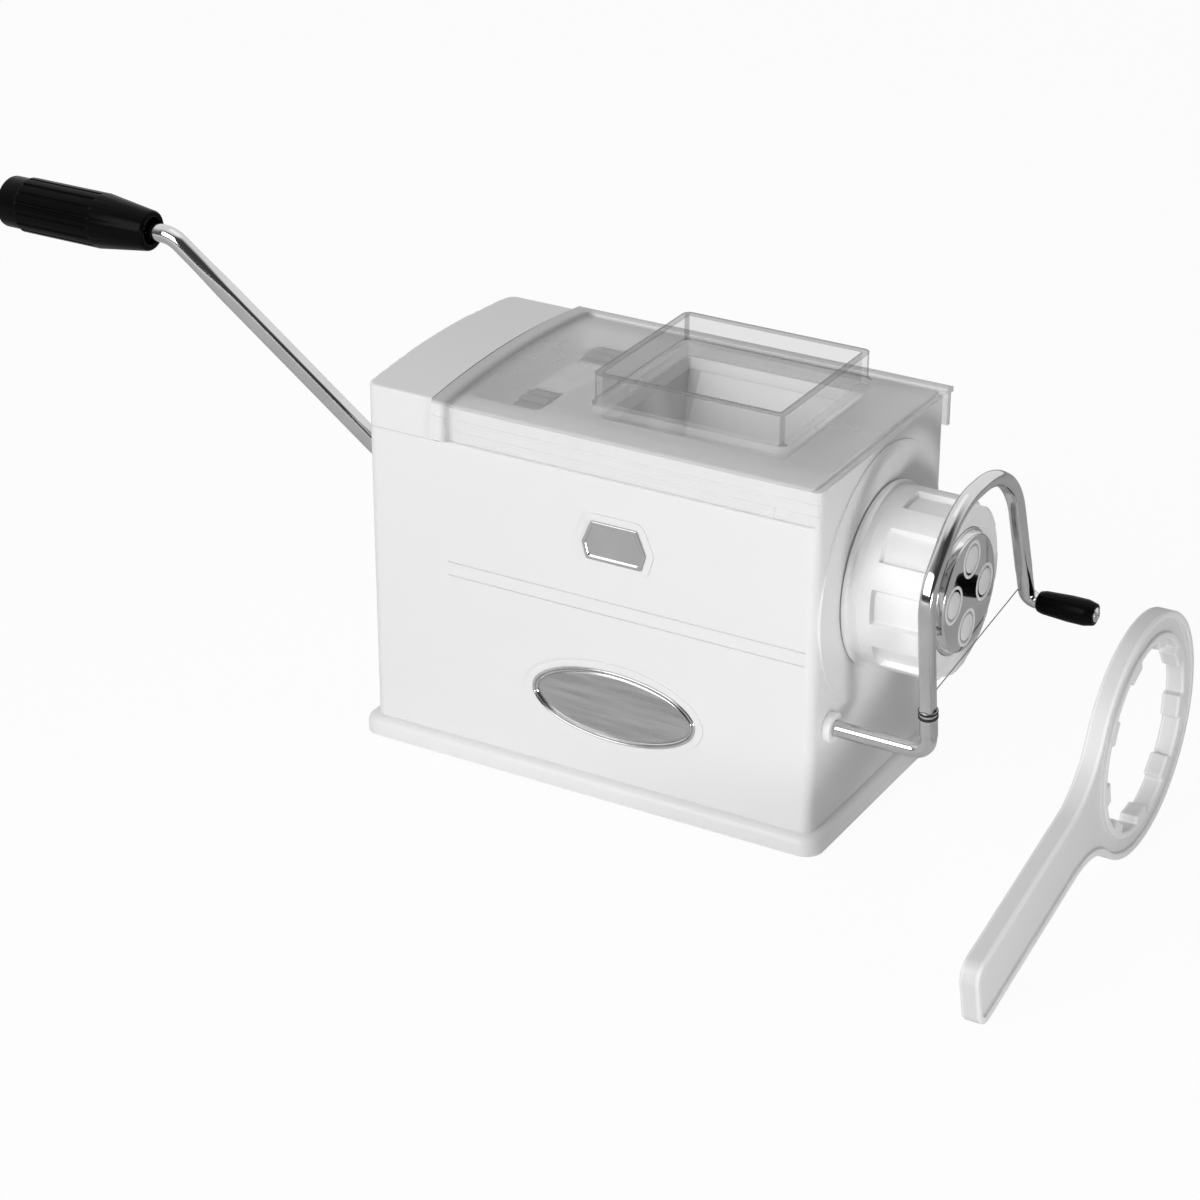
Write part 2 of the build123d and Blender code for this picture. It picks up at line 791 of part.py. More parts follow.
def axle_bushes():
    bushes = []
    outer = axle_radius + bush_wall
    for y in (-roller_y, roller_y):
        bush = rod(plate_left - bush_flange_thickness, plate_right, outer, y, roller_z)
        bush += rod(plate_left - bush_flange_thickness, plate_left, outer + bush_flange, y, roller_z)
        bore = rod(plate_left - overrun * 2, plate_right + overrun, axle_radius + fit_gap, y, roller_z)
        bushes.append(bush - bore)
    return bushes


def bearing_plate():
    y1 = back - wall - seat_gap
    plate = box(plate_left, plate_right, -y1, y1, plate_bottom, plate_top)
    plate -= box(plate_left - overrun, plate_right + overrun, -y1 - overrun, -y1 + tongue_wall + screw_radius,
                 0, plate_bottom * 3)
    plate -= box(plate_left - overrun, plate_right + overrun, y1 - tongue_wall - screw_radius, y1 + overrun,
                 0, plate_bottom * 3)
    plate -= rod(plate_left - overrun, plate_right + overrun, shaft_radius + bush_wall + fit_gap)
    bush_hole = axle_radius + bush_wall + fit_gap
    for y in (-roller_y, roller_y):
        plate -= rod(plate_left - overrun, plate_right + overrun, bush_hole, y, roller_z)
    for y in (-y1 / 2, y1 / 2):
        window = RectangleRounded(y1 / 2, plate_bottom * 3, body_radius)
        plate -= upright(extrude(window, plate_thickness * 2, both=True), plate_left, y, plate_bottom * 4)
    return plate


def thrust_washer():
    return tube(plate_right + seat_gap, plate_right + seat_gap + washer_thickness, washer_radius,
                shaft_radius + fit_gap)


def roller_axle(y):
    tip = drum_right + roller_clearance + chamber_wall
    return rod(left + wall + gear_end_gap / 3, tip, axle_radius, y, roller_z)


def feed_roller(y):
    roller = rod(drum_left, drum_right, drum_radius, y, roller_z)
    roller += rod(disc_left, disc_left + disc_width, disc_radius, y, roller_z)
    cutter = box(disc_left - overrun, disc_left + disc_width + overrun, y - disc_groove_width / 2,
                 y + disc_groove_width / 2, roller_z + disc_radius - disc_groove_depth,
                 roller_z + disc_radius + overrun)
    grooves = [around(cutter, 360 * k / disc_teeth, y, roller_z) for k in range(disc_teeth)]
    roller -= grooves
    return roller - rod(drum_left - overrun, drum_right + overrun, axle_radius + fit_gap, y, roller_z)


# Die and ring nut

def nozzle_places():
    angles = [radians(nozzle_turn + 360 * k / nozzles) for k in range(nozzles)]
    return [(nozzle_circle * cos(angle), nozzle_circle * sin(angle)) for angle in angles]


def die_disc():
    seat = right + mouth_seat
    rim = right + die_rim_face
    face = right + die_face
    disc = turned([(seat, 0), (seat, die_flange_radius), (seat + die_flange, die_flange_radius),
                   (seat + die_flange, die_radius), (rim, die_radius), (rim, die_wall_radius),
                   (face - die_round, die_face_radius), (face, die_face_radius - die_round), (face, 0)])
    for y, z in nozzle_places():
        disc -= rod(seat - overrun, face + overrun, nozzle_radius + fit_gap, y, axis_height + z)
    return disc


def nozzle_inserts():
    seat = right + mouth_seat
    face = right + nozzle_face
    inserts = []
    for y, z in nozzle_places():
        insert = turned([(seat, nozzle_bore), (seat, nozzle_radius), (face - nozzle_lip, nozzle_radius),
                         (face, nozzle_radius - nozzle_lip), (face, nozzle_bore)], y, axis_height + z)
        inserts.append(insert)
    return inserts


def nozzle_cores():
    seat = right + mouth_seat
    face = right + nozzle_face
    cores = []
    for y, z in nozzle_places():
        core = turned([(seat, 0), (seat, core_radius / 2), (seat + core_radius, core_radius),
                       (face, core_radius), (face, 0)], y, axis_height + z)
        for leg in range(spider_legs):
            arm = box(seat, seat + 2 * spider_width, y, y + nozzle_bore - seat_gap / 3,
                      axis_height + z - spider_width / 2, axis_height + z + spider_width / 2)
            core += around(arm, 360 * leg / spider_legs, y, axis_height + z)
        cores.append(core)
    return cores


def ring_nut():
    x0 = right + nut_back
    face = right + nut_face
    lip = right + mouth_seat + die_flange + seat_gap / 3
    profile = [(x0, nut_bore_radius), (x0, nut_flange_radius - nut_waist),
               (x0 + nut_waist, nut_flange_radius), (x0 + nut_flange - nut_waist, nut_flange_radius),
               (x0 + nut_flange, nut_waist_radius), (x0 + nut_flange + nut_waist, nut_waist_radius),
               (x0 + nut_shoulder, nut_radius), (face - nut_chamfer, nut_radius),
               (face - nut_chamfer / 4, nut_front_radius + nut_chamfer / 4), (face, nut_front_radius),
               (face, nut_lip_radius), (lip, nut_lip_radius), (lip, nut_bore_radius)]
    nut = turned(profile)
    sector = pocket_sector(nut_floor_radius, nut_radius + overrun, nut_pocket_angle)
    pocket = upright(extrude(sector, nut_face), right + nut_pocket_start)
    nut -= [around(pocket, nut_turned + 360 * k / nut_pockets) for k in range(nut_pockets)]
    return nut


def pocket_sector(inner, outer, angle):
    half = radians(angle) / 2
    a = (outer * cos(half), outer * sin(half))
    b = (inner * cos(half), inner * sin(half))
    return make_face([
        ThreePointArc(a, (outer, 0), (a[0], -a[1])),
        Line((a[0], -a[1]), (b[0], -b[1])),
        ThreePointArc((b[0], -b[1]), (inner, 0), b),
        Line(b, a),
    ])


# Cutter

def bow_point(shares, x=bow_x):
    return (x, cutter_y + shares[0] * bow_height, cutter_z + shares[1] * bow_height)


def cutter_bush():
    x0 = right - cutter_bearing
    bush = rod(x0, right, cutter_sleeve_radius, cutter_y, cutter_z)
    bush += rod(right, right + cutter_bush_proud, cutter_bush_radius, cutter_y, cutter_z)
    return bush - rod(x0 - overrun, right + 2 * cutter_bush_proud, rod_radius + fit_gap, cutter_y, cutter_z)


def leg_point(height):
    return (bow_x, cutter_y + leg_lean_share * height, cutter_z + height)


def cutter_rod():
    start = (right - cutter_bearing - 2 * rod_radius, cutter_y, cutter_z)
    path = rounded_path([start, (bow_x, cutter_y, cutter_z), leg_point(socket_top)], [rod_bend])
    return swept(path, rod_radius)


def cutter_retainer():
    x0 = right - cutter_bearing - seat_gap - keeper_thickness
    return tube(x0, x0 + keeper_thickness, cutter_sleeve_radius + bush_flange, rod_radius + fit_gap / 5,
                cutter_y, cutter_z)


def cutter_socket():
    path = Wire([Line(leg_point(rod_bend + rod_radius / 2), leg_point(socket_top + crimp_gap * 3))])
    socket = swept(path, socket_radius)
    ring = swept(path, rod_radius + fit_gap / 5)
    return socket - ring


def crimp_rings():
    rings = []
    for low in (socket_top, socket_top + 2 * crimp_gap):
        path = Wire([Line(leg_point(low), leg_point(low + crimp_width))])
        rings.append(swept(path, crimp_radius) - swept(path, socket_radius + fit_gap / 5))
    return rings


def cutter_bow():
    end = bow_point(bow_corner_shares[-1])
    stop = (bow_x + knob_start, end[1], end[2])
    points = [leg_point(socket_top + seat_gap / 3)]
    points += [bow_point(shares) for shares in bow_corner_shares]
    points.append(stop)
    radii = [share * bow_height for share in bow_radius_shares] + [knob_start - seat_gap]
    return swept(rounded_path(points, radii), rod_radius)


def cutter_wire():
    leg = leg_point(socket_top + wire_rise)
    low = (wire_x, leg[1] + wire_offset, leg[2])
    high = bow_point(wire_high_shares, wire_x)
    return swept(Wire([Line(low, high)]), wire_radius)


def knob_axis():
    end = bow_point(bow_corner_shares[-1])
    return end[1], end[2]


def knob_pin():
    y, z = knob_axis()
    x0 = bow_x + knob_start
    return rod(x0, x0 + seat_gap + knob_length + seat_gap, pin_radius, y, z)


def cutter_knob():
    y, z = knob_axis()
    x0 = bow_x + knob_start + seat_gap
    x1 = x0 + knob_length
    body = [(x0, pin_radius + fit_gap), (x0, knob_neck_radius),
            (x0 + knob_length / 10, knob_radius * knob_swell_share),
            (x0 + knob_length / 2, knob_radius), (x1 - knob_length / 6, knob_radius),
            (x1, knob_neck_radius), (x1, pin_radius + fit_gap)]
    return turned(body, y, z)


def knob_screw():
    y, z = knob_axis()
    x0 = bow_x + knob_start + seat_gap + knob_length + seat_gap
    return turned([(x0, 0), (x0, knob_screw_radius), (x0 + knob_screw_height / 2, knob_screw_radius),
                   (x0 + knob_screw_height, knob_screw_radius / 2), (x0 + knob_screw_height, 0)], y, z)


# Crank

def grip_axis():
    turn = radians(crank_turned)
    return -crank_throw * sin(turn), axis_height + crank_throw * cos(turn)


def grip_x():
    """Right end of the grip, its nose."""
    return left - crank_reach - crank_arm_run - grip_gap


def crank_rod():
    y, z = grip_axis()
    arm_left = left - crank_reach - crank_arm_run
    tail = grip_x() - grip_length + grip_cap_thickness + keeper_thickness + seat_gap
    points = [(left - shaft_proud + crank_socket - seat_gap, 0, axis_height),
              (left - crank_reach, 0, axis_height), (arm_left + crank_bend / 2, y, z), (tail, y, z)]
    return swept(rounded_path(points, [crank_bend, crank_bend]), crank_rod_radius)


def grip_profile():
    nose = grip_x()
    end = nose - grip_length
    shoulder = nose - grip_nose_length
    rear = end + grip_end_round
    return [(nose, grip_nose_bore), (nose, grip_nose_radius - grip_flute_width),
            (nose - grip_flute_width, grip_nose_radius), (shoulder, grip_radius),
            (rear + grip_end_round, grip_radius), (rear, grip_end_radius),
            (end, grip_end_radius - grip_end_round / 2), (end, grip_cap_radius + fit_gap),
            (end + grip_cap_thickness + keeper_thickness + 2 * seat_gap, grip_cap_radius + fit_gap),
            (end + grip_cap_thickness + keeper_thickness + 2 * seat_gap, crank_rod_radius + fit_gap),
            (nose - grip_nose_recess, crank_rod_radius + fit_gap), (nose - grip_nose_recess, grip_nose_bore)]


def crank_grip():
    y, z = grip_axis()
    grip = turned(grip_profile(), y, z)
    x0 = grip_x() - grip_length + 2 * grip_end_round
    x1 = grip_x() - grip_nose_length
    flute = box(x0 - overrun, x1 - overrun, y - grip_flute_width / 2, y + grip_flute_width / 2,
                z + grip_radius - grip_flute_depth, z + grip_radius + overrun)
    grip -= [around(flute, 360 * k / grip_flutes, y, z) for k in range(grip_flutes)]
    return grip


def grip_keeper():
    y, z = grip_axis()
    x0 = grip_x() - grip_length + grip_cap_thickness + seat_gap
    return rod(x0, x0 + keeper_thickness - seat_gap / 3, keeper_radius, y, z)


def grip_end_cap():
    y, z = grip_axis()
    end = grip_x() - grip_length
    dome = grip_cap_thickness / 2
    return turned([(end + grip_cap_thickness, 0), (end + grip_cap_thickness, grip_cap_radius),
                   (end, grip_cap_radius), (end - dome, grip_cap_radius / 2), (end - dome, 0)], y, z)


# Badges, left bare

def upper_badge():
    plate = extrude(badge_face(-fit_gap), badge_relief)
    plate += extrude(badge_face(-fit_gap), fit_gap - badge_thickness)
    rim = extrude(badge_face(-fit_gap), badge_thickness)
    rim -= extrude(badge_face(-badge_frame / 2), badge_thickness * 2)
    return plate + rim


def oval_rim_ring():
    outer = extrude(oval_face(-fit_gap), oval_relief + oval_sink)
    outer += extrude(oval_face(-fit_gap), fit_gap - oval_thickness)
    inner = extrude(oval_face(-oval_rim), oval_thickness * 2, both=True)
    groove = extrude(oval_face(-oval_rim / 3), oval_relief * 2)
    groove -= extrude(oval_face(-oval_rim * 2 / 3), oval_relief * 3)
    lift = Pos(0, -oval_relief, 0)
    return outer - inner - lift * groove


def oval_plate():
    plate = extrude(oval_face(-oval_rim - fit_gap), oval_relief)
    return plate + extrude(oval_face(-oval_rim - fit_gap), fit_gap - oval_thickness)


# Wrench

def wrench_angle():
    """Angle that rests the ring and the handle's tip on the table together."""
    along = wrench_length - wrench_tip_round
    across = wrench_handle_width / 2 - wrench_tip_round
    return degrees(asin((wrench_radius - wrench_tip_round) / hypot(along, across)) - atan2(across, along))


def wrench_outline(inset):
    ring = Circle(wrench_radius - inset)
    handle_left = wrench_radius / 2
    handle = Pos((handle_left + wrench_length - inset) / 2, 0) * RectangleRounded(
        wrench_length - inset - handle_left, wrench_handle_width - 2 * inset, wrench_tip_round - inset)
    shape = ring + handle
    corners = shape.vertices().filter_by(lambda v: 0 < v.X < wrench_radius)
    return fillet(corners, wrench_blend - inset * (1 - 2 * (inset > 0)))


def wrench():
    body = extrude(wrench_outline(0), wrench_thickness / 2, both=True)
    panel = wrench_outline(wrench_border) - Circle(wrench_hole_radius + wrench_border)
    for low in (-wrench_thickness / 2 - overrun, wrench_thickness / 2 - wrench_recess):
        body -= Pos(0, 0, low) * extrude(panel, wrench_recess + overrun)
    body -= Cylinder(wrench_hole_radius, wrench_thickness * 2)
    tooth = pocket_sector(wrench_tooth_radius, wrench_hole_radius + wrench_border / 2, wrench_tooth_angle)
    for k in range(nut_pockets):
        body += Rot(0, 0, 360 * k / nut_pockets) * extrude(tooth, wrench_thickness / 2, both=True)
    return upright(Rot(0, 0, 180 + wrench_angle()) * body, wrench_x, wrench_y, wrench_radius)


def solids_of(shape):
    if isinstance(shape, list):
        return [solid for item in shape for solid in item.solids()]
    return list(shape.solids())


def build():
    nodes = {
        "base_tray": base_tray(),
        "rubber_feet": rubber_feet(),
        "base_screws": base_screws(),
        "main_housing": main_housing(),
        "gear_housing": gear_housing(),
        "gear_cap": gear_cap(),
        "lid": lid(),
        "hopper": hopper(),
        "barrel": barrel(),
        "bearing_plate": bearing_plate(),
        "shaft_bushes": shaft_bushes(),
        "axle_bushes": axle_bushes(),
        "thrust_washer": thrust_washer(),
        "drive_shaft": drive_shaft(),
        "auger_screw": auger_screw(),
        "roller_axle_front": roller_axle(-roller_y),
        "roller_axle_back": roller_axle(roller_y),
        "feed_roller_front": feed_roller(-roller_y),
        "feed_roller_back": feed_roller(roller_y),
        "die_disc": die_disc(),
        "nozzle_inserts": nozzle_inserts(),
        "nozzle_cores": nozzle_cores(),
        "ring_nut": ring_nut(),
        "cutter_bush": cutter_bush(),
        "cutter_rod": cutter_rod(),
        "cutter_retainer": cutter_retainer(),
        "cutter_socket": cutter_socket(),
        "crimp_rings": crimp_rings(),
        "cutter_bow": cutter_bow(),
        "cutter_wire": cutter_wire(),
        "knob_pin": knob_pin(),
        "cutter_knob": cutter_knob(),
        "knob_screw": knob_screw(),
        "crank_rod": crank_rod(),
        "crank_grip": crank_grip(),
        "grip_keeper": grip_keeper(),
        "grip_end_cap": grip_end_cap(),
        "upper_badge": upper_badge(),
        "oval_rim": oval_rim_ring(),
        "oval_plate": oval_plate(),
        "wrench": wrench(),
    }
    nodes.update(drive_gears())
    return nodes


os.makedirs("parts", exist_ok=True)
for name, shape in build().items():
    solids = solids_of(shape)
    whole = solids[0] if len(solids) == 1 else Compound(children=solids)
    export_step(whole, "parts/" + name + ".step")
    print(name, len(solids), "solid(s)")
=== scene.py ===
import json
import math

import bmesh
import bpy
from mathutils import Matrix, Vector

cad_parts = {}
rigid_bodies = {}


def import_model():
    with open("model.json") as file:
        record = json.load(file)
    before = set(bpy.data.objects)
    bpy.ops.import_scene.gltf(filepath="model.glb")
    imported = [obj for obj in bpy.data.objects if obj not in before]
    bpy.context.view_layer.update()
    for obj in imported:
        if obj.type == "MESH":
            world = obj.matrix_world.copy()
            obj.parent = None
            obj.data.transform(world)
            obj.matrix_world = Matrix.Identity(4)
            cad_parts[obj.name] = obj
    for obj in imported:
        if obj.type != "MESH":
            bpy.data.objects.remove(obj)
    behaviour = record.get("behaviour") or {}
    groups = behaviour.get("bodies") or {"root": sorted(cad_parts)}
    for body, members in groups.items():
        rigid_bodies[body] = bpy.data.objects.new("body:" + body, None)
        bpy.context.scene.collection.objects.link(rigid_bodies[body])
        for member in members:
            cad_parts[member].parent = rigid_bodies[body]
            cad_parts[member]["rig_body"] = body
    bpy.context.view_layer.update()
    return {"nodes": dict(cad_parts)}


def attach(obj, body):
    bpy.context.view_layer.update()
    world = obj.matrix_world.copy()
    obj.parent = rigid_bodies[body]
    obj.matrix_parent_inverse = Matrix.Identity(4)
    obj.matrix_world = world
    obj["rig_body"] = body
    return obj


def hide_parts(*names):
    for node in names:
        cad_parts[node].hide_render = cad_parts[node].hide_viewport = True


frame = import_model()
nodes = frame["nodes"]
mm = 0.001


# Camera and light

camera = {
    "target": (-28.7, 0.0, 63.24),     # mm
    "azimuth": 30.07,                  # degrees round from the long front face
    "elevation": 26.5,
    "distance": 1577.0,                # mm
    "lens": 101.46, "sensor": 36.0,    # mm
    "farthest": 20.0,                  # m
}
studio = {    # powers in W, sizes and places in m
    "aim": (0.0, 0.0, 0.09),
    "keyPower": 33.2, "keySize": 1.6, "keyPlace": (-0.55, -2.1, 1.25),
    "fillPower": 2.3, "fillSize": 0.14, "fillPlace": (0.88, -0.40, 0.075),
    "topPower": 1.5, "topSize": 1.2, "topPlace": (0.0, 0.5, 2.0),
    "worldLevel": 0.33,
    "worldWhite": 1.0,                 # what the camera and mirrors see behind the object
    "rightDim": 0.45,                  # how much darker the room is to the right of the end face
    "rightFade": (0.0, 0.7),
    "roomDim": 0.94,                   # the dark side of the room, behind the camera, that metal mirrors
    "roomAbove": (0.98, 0.80), "roomBelow": (-0.30, 0.05), "roomSide": (-0.2, 0.5),      # where it fades in
    "floorGlow": 0.95,                 # how far the floor is lifted to white for the camera
    "floorReach": 12.0, "floorDrop": 0.0002, "floorGreys": (0.90, 0.92),
}


def aimAt(thing, place, target):
    way = Vector(target) - Vector(place)
    thing.rotation_euler = way.to_track_quat("-Z", "Y").to_euler()
    thing.location = place


def makeCamera():
    turn, lift = math.radians(camera["azimuth"]), math.radians(camera["elevation"])
    away = Vector((math.cos(lift) * math.sin(turn), -math.cos(lift) * math.cos(turn), math.sin(lift)))
    target = Vector(camera["target"]) * mm
    data = bpy.data.cameras.new("photoCamera")
    data.sensor_width = camera["sensor"]
    data.lens = camera["lens"]
    data.clip_end = camera["farthest"]
    thing = bpy.data.objects.new("photoCamera", data)
    bpy.context.collection.objects.link(thing)
    aimAt(thing, target + away * camera["distance"] * mm, target)
    bpy.context.scene.camera = thing


def softbox(name):
    data = bpy.data.lights.new(name, "AREA")
    data.energy = studio[name + "Power"]
    data.shape = "SQUARE"
    data.size = studio[name + "Size"]
    lamp = bpy.data.objects.new(name, data)
    bpy.context.collection.objects.link(lamp)
    aimAt(lamp, studio[name + "Place"], studio["aim"])


# Shader maths: a socket that can be added, multiplied and so on

class Wire:
    def __init__(self, tree, socket):
        self.tree, self.socket = tree, socket

    def node(self, kind, settings=None, inputs=None, out=0):
        made = self.tree.nodes.new(kind)
        for name, value in (settings or {}).items():
            setattr(made, name, value)
        for name, value in (inputs or {}).items():
            if isinstance(value, Wire):
                self.tree.links.new(value.socket, made.inputs[name])
            elif value is not None:
                made.inputs[name].default_value = value
        return Wire(self.tree, made.outputs[out]) if made.outputs else None

    def maths(self, operation, a, b=None):
        return self.node("ShaderNodeMath", {"operation": operation}, {0: a, 1: b})

    def __add__(self, other):
        return self.maths("ADD", self, other)

    def __radd__(self, other):
        return self.maths("ADD", other, self)

    def __sub__(self, other):
        return self.maths("SUBTRACT", self, other)

    def __rsub__(self, other):
        return self.maths("SUBTRACT", other, self)

    def __mul__(self, other):
        return self.maths("MULTIPLY", self, other)

    def __rmul__(self, other):
        return self.maths("MULTIPLY", other, self)

    def __truediv__(self, other):
        return self.maths("DIVIDE", self, other)

    def __abs__(self):
        return self.maths("ABSOLUTE", self)

    def larger(self, other):
        return self.maths("MAXIMUM", self, other)

    def smooth(self, low, high):
        return self.node("ShaderNodeMapRange", {"interpolation_type": "SMOOTHSTEP"},
                         {"Value": self, "From Min": low, "From Max": high})

    def fade(self, ends):
        # 0 up to the first of two places in mm, and 1 past the second.
        return self.smooth(ends[0] * mm, ends[1] * mm)

    def noise(self, scale, detail, stretch=(1.0, 1.0, 1.0)):
        placed = self.node("ShaderNodeMapping", None, {"Vector": self, "Scale": stretch})
        return self.node("ShaderNodeTexNoise", None, {"Vector": placed, "Scale": scale, "Detail": detail})

    def axis(self, name):
        return self.node("ShaderNodeSeparateXYZ", None, {"Vector": self}, out="XYZ".index(name))

    def blend(self, low, high):
        # Sockets 6 and 7 of a Mix node are its two colours, and output 2 is the mixed one.
        return self.node("ShaderNodeMix", {"data_type": "RGBA"}, {"Factor": self, 6: low, 7: high}, out=2)

    def bump(self, strength, distance):
        return self.node("ShaderNodeBump", None,
                         {"Height": self, "Strength": strength, "Distance": distance})


def shade(name, recipe, even):
    # A material: recipe returns what varies over it, and even holds the shader's other values.
    material = bpy.data.materials.new(name)
    material.use_nodes = True
    tree = material.node_tree
    shader = tree.nodes["Principled BSDF"]
    for socket, value in even.items():
        shader.inputs[socket].default_value = value
    place = tree.nodes.new("ShaderNodeTexCoord")
    for socket, value in recipe(Wire(tree, place.outputs["Object"])).items():
        tree.links.new(value.socket, shader.inputs[socket])
    return material


def grey(level, warm=0.0):
    return (level * (1 + warm), level, level * (1 - warm), 1.0)


def unevenGloss(rough, share, pattern):
    # A roughness that a pattern takes up and down by a share of itself.
    return rough * (1 - share + 2 * share * pattern)


# The plain patterns: their sizes are in waves per metre, and relief is in metres.
plastic = {"flow": 9.0, "handled": 30.0, "skin": 220.0, "strength": 0.25, "relief": 0.00003}
plating = {"haze": 55.0, "marks": 700.0, "strength": 0.12, "relief": 0.00003}
brushing = {"marks": 420.0, "strength": 0.25, "relief": 0.00004}


def wavySkin(at, relief=plastic["relief"]):
    return at.noise(plastic["skin"], 1.0).bump(plastic["strength"], relief)


def mouldedPlastic(light, dark, rough, relief=plastic["relief"]):
    # Moulded plastic: faint flow clouding, uneven gloss and a gently wavy skin.
    def recipe(at):
        flow = at.noise(plastic["flow"], 2.0)
        handled = at.noise(plastic["handled"], 2.0)
        return {"Base Color": flow.smooth(0.3, 0.7).blend(dark, light),
                "Roughness": unevenGloss(rough, 0.1, handled),
                "Normal": wavySkin(at, relief)}
    return recipe


def plated(light, dark, rough):
    # Polished plating: faint haze and hairline polishing marks.
    def recipe(at):
        haze = at.noise(plating["haze"], 4.0)
        marks = at.noise(plating["marks"], 3.0)
        return {"Base Color": haze.smooth(0.25, 0.75).blend(dark, light),
                "Roughness": unevenGloss(rough, 0.4, haze),
                "Normal": marks.bump(plating["strength"], plating["relief"])}
    return recipe


def brushedMetal(light, dark, rough, streak):
    # Metal with brush marks that run along the axes that streak makes small.
    def recipe(at):
        marks = at.noise(brushing["marks"], 5.0, streak)
        return {"Base Color": marks.smooth(0.3, 0.7).blend(dark, light),
                "Roughness": unevenGloss(rough, 0.3, marks),
                "Normal": marks.bump(brushing["strength"], brushing["relief"])}
    return recipe


# Here and below, a pair of places is where something fades in and where it is complete.

funnelWall = {    # the funnel's left wall, with painted shade and one painted highlight, mm
    "right": (2.6, 1.6), "left": (-4.6, -4.1), "top": (171.4, 170.9), "patchY": 6.0, "patch": (16.0, 0.0),
    "wallGrey": 0.66, "patchGrey": 0.92,
}


def chute(light, dark, rough):
    # Moulded plastic with painted shade on the funnel's left wall, and one soft painted highlight there.
    def recipe(at):
        w = funnelWall
        x, y, z = at.axis("X"), at.axis("Y"), at.axis("Z")
        flow = at.noise(plastic["flow"], 2.0)
        # the funnel's left wall, where shade is painted
        wall = x.fade(w["right"]) * x.fade(w["left"]) * z.fade(w["top"])
        # the soft painted highlight on that wall
        patch = abs(y - w["patchY"] * mm).fade(w["patch"])
        tone = flow.smooth(0.3, 0.7).blend(dark, light)
        return {"Base Color": wall.blend(tone, patch.blend(grey(w["wallGrey"]), grey(w["patchGrey"]))),
                "Roughness": unevenGloss(rough, 0.1, flow),
                "Normal": wavySkin(at)}
    return recipe


clearLid = {    # mm
    "depth": (-55.0, 55.0), "skirt": (177.3, 175.5), "overhang": (58.5, 60.5), "backSkirt": (64.0, 64.4),
    "collar": (182.6, 183.4), "rim": (196.2, 196.8), "backEdge": (65.8, 66.3), "rightEnd": (112.6, 113.0),
    "collarX": 39.0, "cornerX": (44.6, 45.4), "cornerY": (40.2, 41.0),
    "leftEnd": (-68.5, -74.8),         # the lid lets less light through towards its left end, and its grey there is painted shade
    "overhangGrey": 0.60, "leftGrey": 0.58, "lineGrey": 0.16,
    "overhangShare": 0.8, "leftShare": 0.8, "lineShare": 0.7,
    "cloud": 30.0, "etch": 260.0, "strength": 0.2, "relief": 0.00003,      # as in the plastics above
}
lidAlpha = {    # how solid each part of the lid looks
    "top": 0.26, "cloud": 0.06, "skirt": -0.20, "overhang": 0.42, "backSkirt": 0.20,     # added together
    "left": 0.93, "collar": 0.15, "line": 0.55,      # then taken to these
}


def frosted(shadedFrontGrey, litBackGrey, skirtGrey, collarGrey, rough):
    # Clear plastic: frosted on top, nearly clear over the white wall, smoky and glossy in the collar,
    # with its rim, corners and edges darker, where the eye looks along the wall. Its greys also hold
    # painted shade: darker towards the front, on the strip that overhangs at the back, and at the left end.
    def recipe(at):
        spot, alpha = clearLid, lidAlpha
        x, y, z = at.axis("X"), at.axis("Y"), at.axis("Z")
        cloud = at.noise(spot["cloud"], 4.0)
        etch = at.noise(spot["etch"], 1.0)
        skirt, collar, rim = z.fade(spot["skirt"]), z.fade(spot["collar"]), z.fade(spot["rim"])
        overhang, left = y.fade(spot["overhang"]), x.fade(spot["leftEnd"])
        backSkirt = y.fade(spot["backSkirt"]) * skirt
        corner = abs(x - spot["collarX"] * mm).fade(spot["cornerX"]) * abs(y).fade(spot["cornerY"]) * collar
        backLine = y.fade(spot["backEdge"]) * x.fade(spot["rightEnd"]).larger(1 - skirt)
        line = rim.larger(corner).larger(backLine)
        # painted shade: the top darker towards the front than at the back
        tone = y.fade(spot["depth"]).blend(shadedFrontGrey, litBackGrey)
        # painted shade on the strip that overhangs at the back
        tone = (overhang * spot["overhangShare"]).blend(tone, grey(spot["overhangGrey"]))
        # painted shade: a grey band where the left end turns opaque
        tone = (left * spot["leftShare"]).blend(tone, grey(spot["leftGrey"]))
        tone = collar.blend((skirt - backSkirt).blend(tone, skirtGrey), collarGrey)
        tone = (line * spot["lineShare"]).blend(tone, grey(spot["lineGrey"]))
        see = alpha["top"] + alpha["cloud"] * cloud + alpha["skirt"] * skirt
        see = see + alpha["backSkirt"] * backSkirt + alpha["overhang"] * overhang * (1 - skirt)
        for share, end in ((left, "left"), (collar, "collar"), (line, "line")):
            see = see + (alpha[end] - see) * share
        return {"Base Color": tone,
                "Roughness": unevenGloss(rough, 0.15, cloud) * (1 - 0.6 * collar),
                "Alpha": see,
                "Normal": etch.bump(spot["strength"], spot["relief"])}
    return recipe


wrenchPanels = {    # mm
    "middle": 232.5, "border": (2.6, 3.1),     # along X, and out from there
    "cloud": 24.0, "skin": 700.0, "strength": 0.25, "relief": 0.00006,     # as in the plastics above
}


def panelled(border, shadedPanel, rough):
    # Moulded plastic with painted shade in its recessed panels, darker than the raised border.
    def recipe(at):
        p = wrenchPanels
        # the raised border; the recessed panels inside it get painted shade
        raised = abs(at.axis("X") - p["middle"] * mm).fade(p["border"])
        return {"Base Color": raised.blend(shadedPanel, border),
                "Roughness": unevenGloss(rough, 0.15, at.noise(p["cloud"], 4.0)),
                "Normal": at.noise(p["skin"], 3.0).bump(p["strength"], p["relief"])}
    return recipe


